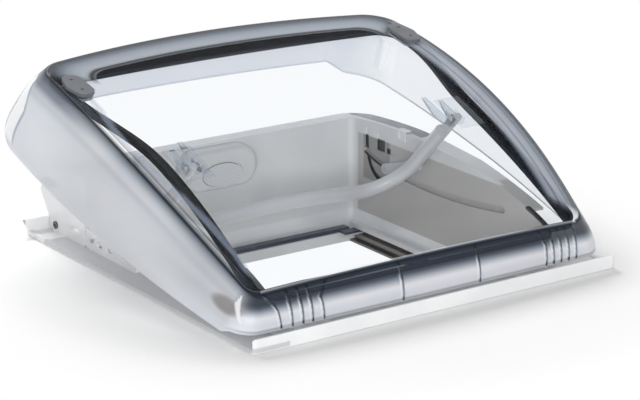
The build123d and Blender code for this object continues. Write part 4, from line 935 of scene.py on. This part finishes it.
def build_shell():
    """The dome's outer face: pane, rounded crease, skirt and lip."""
    mesh = bmesh.new()
    coat = mesh.verts.layers.float_color.new("coat")
    inside = mesh.verts.layers.float.new("inside")
    count = len(CREASE)
    rows = []
    for ring in shell_rings():
        row = []
        for point, (outer_coat, inner_cover) in ring:
            vert = mesh.verts.new(opened(point))
            vert[coat] = outer_coat
            vert[inside] = inner_cover
            row.append(vert)
        rows.append(row)
    for a, b in zip(rows, rows[1:]):
        for i in range(count):
            j = (i + 1) % count
            mesh.faces.new((a[i], b[i], b[j], a[j]))
    centre = mesh.verts.new(opened(pane_point(0, 0.5)))
    centre[coat] = (1, 1, 1, 0)
    for i in range(count):
        mesh.faces.new((rows[0][(i + 1) % count], centre, rows[0][i]))
    bmesh.ops.recalc_face_normals(mesh, faces=mesh.faces)
    data = bpy.data.meshes.new("dome_shell")
    mesh.to_mesh(data)
    mesh.free()
    for face in data.polygons:
        face.use_smooth = True
    data.materials.append(MATERIALS["tinted_acrylic"])
    return show("dome_shell", data)


dome_shell = build_shell()
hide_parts("outer_dome")
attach(dome_shell, "dome")


# Blind cloths: folded sheets, packed behind their bars

CLOTH_FOLDS = 64
CLOTH_COLUMNS = 24
CLOTH_LENGTH = 0.332


def grid_faces(rows, columns):
    """Faces of a sheet whose points run along its columns, row after row."""
    wide = columns + 1
    faces = []
    for row in range(rows):
        for column in range(columns):
            a = row * wide + column
            faces.append((a, a + 1, a + wide + 1, a + wide))
    return faces


def hang_cloth(node, body_slot):
    """A sheet of cloth in close pleats, in the place of the CAD's folded block."""
    low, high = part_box(node)
    step = (high[1] - low[1]) / CLOTH_FOLDS
    pleat = CLOTH_LENGTH / CLOTH_FOLDS
    rise = math.sqrt(pleat ** 2 - step ** 2) / 2
    middle = (low[2] + high[2]) / 2
    verts = []
    for fold in range(CLOTH_FOLDS + 1):
        z = middle + (rise if fold % 2 else -rise)
        for k in range(CLOTH_COLUMNS + 1):
            verts.append((mix(low[0], high[0], k / CLOTH_COLUMNS), low[1] + fold * step, z))
    faces = grid_faces(CLOTH_FOLDS, CLOTH_COLUMNS)
    cloth = faceted(node + "_cloth", verts, faces, MATERIALS[body_slot])
    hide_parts(node)
    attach(cloth, "root")


hang_cloth("blackout_pleats", "blackout_cloth")
hang_cloth("screen_pleats", "screen_cloth")


# Clear fins of the bow's brackets, on the pane's underside: place across, rear end and length, in mm

FINS = ((169.0, 20.0, 58.0), (185.5, 9.0, 34.0))
FIN_STEPS = 6
FIN_END_DEPTH = 2.5
FIN_BELLY = 8.0
FIN_HALF_BASE = 3.6
FIN_HALF_EDGE = 1.2
PANE_UNDER = 4.0


def pane_height(y):
    """Height of the opened pane's underside over a place along the shaft."""
    a = opened(pane_point(0, 0.2)) / MM
    b = opened(pane_point(0, 0.8)) / MM
    return mix(a.z, b.z, (y - a.y) / (b.y - a.y)) - PANE_UNDER


def build_fin(name, x, rear, length):
    """A clear wedge along y, from its rear end forward: it hangs from the pane, deepest halfway."""
    verts = []
    for k in range(FIN_STEPS + 1):
        y = rear - length * k / FIN_STEPS
        top = pane_height(y)
        bottom = top - FIN_END_DEPTH - FIN_BELLY * math.sin(math.pi * (rear - y) / length)
        verts += [(x - FIN_HALF_BASE, y, top), (x + FIN_HALF_BASE, y, top)]
        verts += [(x + FIN_HALF_EDGE, y, bottom), (x - FIN_HALF_EDGE, y, bottom)]
    faces = [(3, 2, 1, 0)]
    for k in range(FIN_STEPS):
        for a in range(4):
            b = (a + 1) % 4
            faces.append((4 * k + a, 4 * k + b, 4 * k + 4 + b, 4 * k + 4 + a))
    end = 4 * FIN_STEPS
    faces.append((end, end + 1, end + 2, end + 3))
    points = [Vector(v) * MM for v in verts]
    fin = faceted(name, points, faces, MATERIALS["fin_acrylic"], MATERIALS["fin_painted_highlight"])
    # The fin's narrow lower face takes a painted highlight along its edge
    for face in fin.data.polygons[1:-1]:
        face.material_index = 1 if (face.index - 1) % 4 == 2 else 0
    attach(fin, "dome")


for side, sign in (("left", -1), ("right", 1)):
    for k, (x, rear, length) in enumerate(FINS):
        build_fin(f"bracket_fin_{side}_{k}", sign * x, rear, length)


# Floor: the roof's face round the cut-out

FLOOR_PAINT = [(0.3, (0.955, 0.955, 0.955)), (0.7, (0.975, 0.975, 0.975))]
FLOOR_FADE = (0.36, 0.47)


def floor_material():
    """Pale paint near the window, and plain white farther off where it is seen."""
    n = Nodes(bpy.data.materials.new("pale_roof"))
    body = n.add("ShaderNodeBsdfDiffuse")
    n.link(n.ramp(n.noise(3.0, 2.0), FLOOR_PAINT), body.inputs["Color"])
    white = n.add("ShaderNodeEmission")
    length = n.add("ShaderNodeVectorMath", operation="LENGTH")
    n.link(n.coords, length.inputs[0])
    far = n.spread(length.outputs["Value"], 0.0, 1.0, *FLOOR_FADE)
    return n.finish(n.blend(n.maths("MULTIPLY", n.seen(), far), body.outputs[0], white.outputs[0]))


FLOOR_REACH = 40.0
FLOOR_Z = -0.0005
HOLE_X = 0.1975
HOLE_Y = 0.1985


def build_floor():
    """A wide floor with a hole for the shaft."""
    verts = []
    for x, y in ((FLOOR_REACH, FLOOR_REACH), (HOLE_X, HOLE_Y)):
        verts += [(-x, -y, FLOOR_Z), (x, -y, FLOOR_Z), (x, y, FLOOR_Z), (-x, y, FLOOR_Z)]
    faces = [(i, (i + 1) % 4, 4 + (i + 1) % 4, 4 + i) for i in range(4)]
    return faceted("floor", verts, faces, floor_material())


build_floor()


# Light

WORLD_LIGHT = 0.42


def build_world():
    """Even white light, weaker on the model than where it is seen or mirrored."""
    n = Nodes(bpy.data.worlds.new("studio"), "ShaderNodeOutputWorld")
    back = n.add("ShaderNodeBackground")
    back.inputs["Color"].default_value = (1, 1, 1, 1)
    n.link(n.spread(n.seen(), WORLD_LIGHT, 1.0, 0.0, 1.0), back.inputs["Strength"])
    SCENE.world = n.finish(back.outputs[0])


def softbox(name, place, aim, size, power):
    """A rectangular lamp at a place in metres, turned to what it lights."""
    data = bpy.data.lights.new(name, "AREA")
    data.shape = "RECTANGLE"
    data.size, data.size_y = size
    data.energy = power
    obj = show(name, data)
    obj.location = place
    direction = Vector(aim) - Vector(place)
    obj.rotation_euler = direction.to_track_quat("-Z", "Y").to_euler()
    return obj


build_world()
softbox("front_softbox", (-1.2, -2.2, 0.6), (0, 0, 0.05), (1.8, 0.9), 36)
rear_softbox = softbox("rear_softbox", (0.3, 2.2, 1.8), (0, 0, 0), (2.0, 1.0), 74)
rear_softbox.visible_glossy = False


# Camera at the photograph's place

CAMERA_PLACE = Vector((-1494.6, -2166.6, 877.96)) * MM
AZIMUTH = math.radians(-34.72)
ELEVATION = math.radians(17.24)
LENS = 135.0
SENSOR = 36.0


def build_camera():
    """A long lens at the photograph's viewing angle, from the place that was fitted to it."""
    data = bpy.data.cameras.new("camera")
    data.lens = LENS
    data.sensor_width = SENSOR
    data.clip_start = 0.05
    data.clip_end = 200.0
    obj = show("camera", data)
    back = Vector((
        math.sin(AZIMUTH) * math.cos(ELEVATION),
        -math.cos(AZIMUTH) * math.cos(ELEVATION),
        math.sin(ELEVATION),
    ))
    obj.location = CAMERA_PLACE
    obj.rotation_mode = "QUATERNION"
    obj.rotation_quaternion = (-back).to_track_quat("-Z", "Y")
    SCENE.camera = obj


build_camera()
SCENE.view_settings.view_transform = "Standard"


# Bring the scene's transforms up to date

bpy.context.view_layer.update()
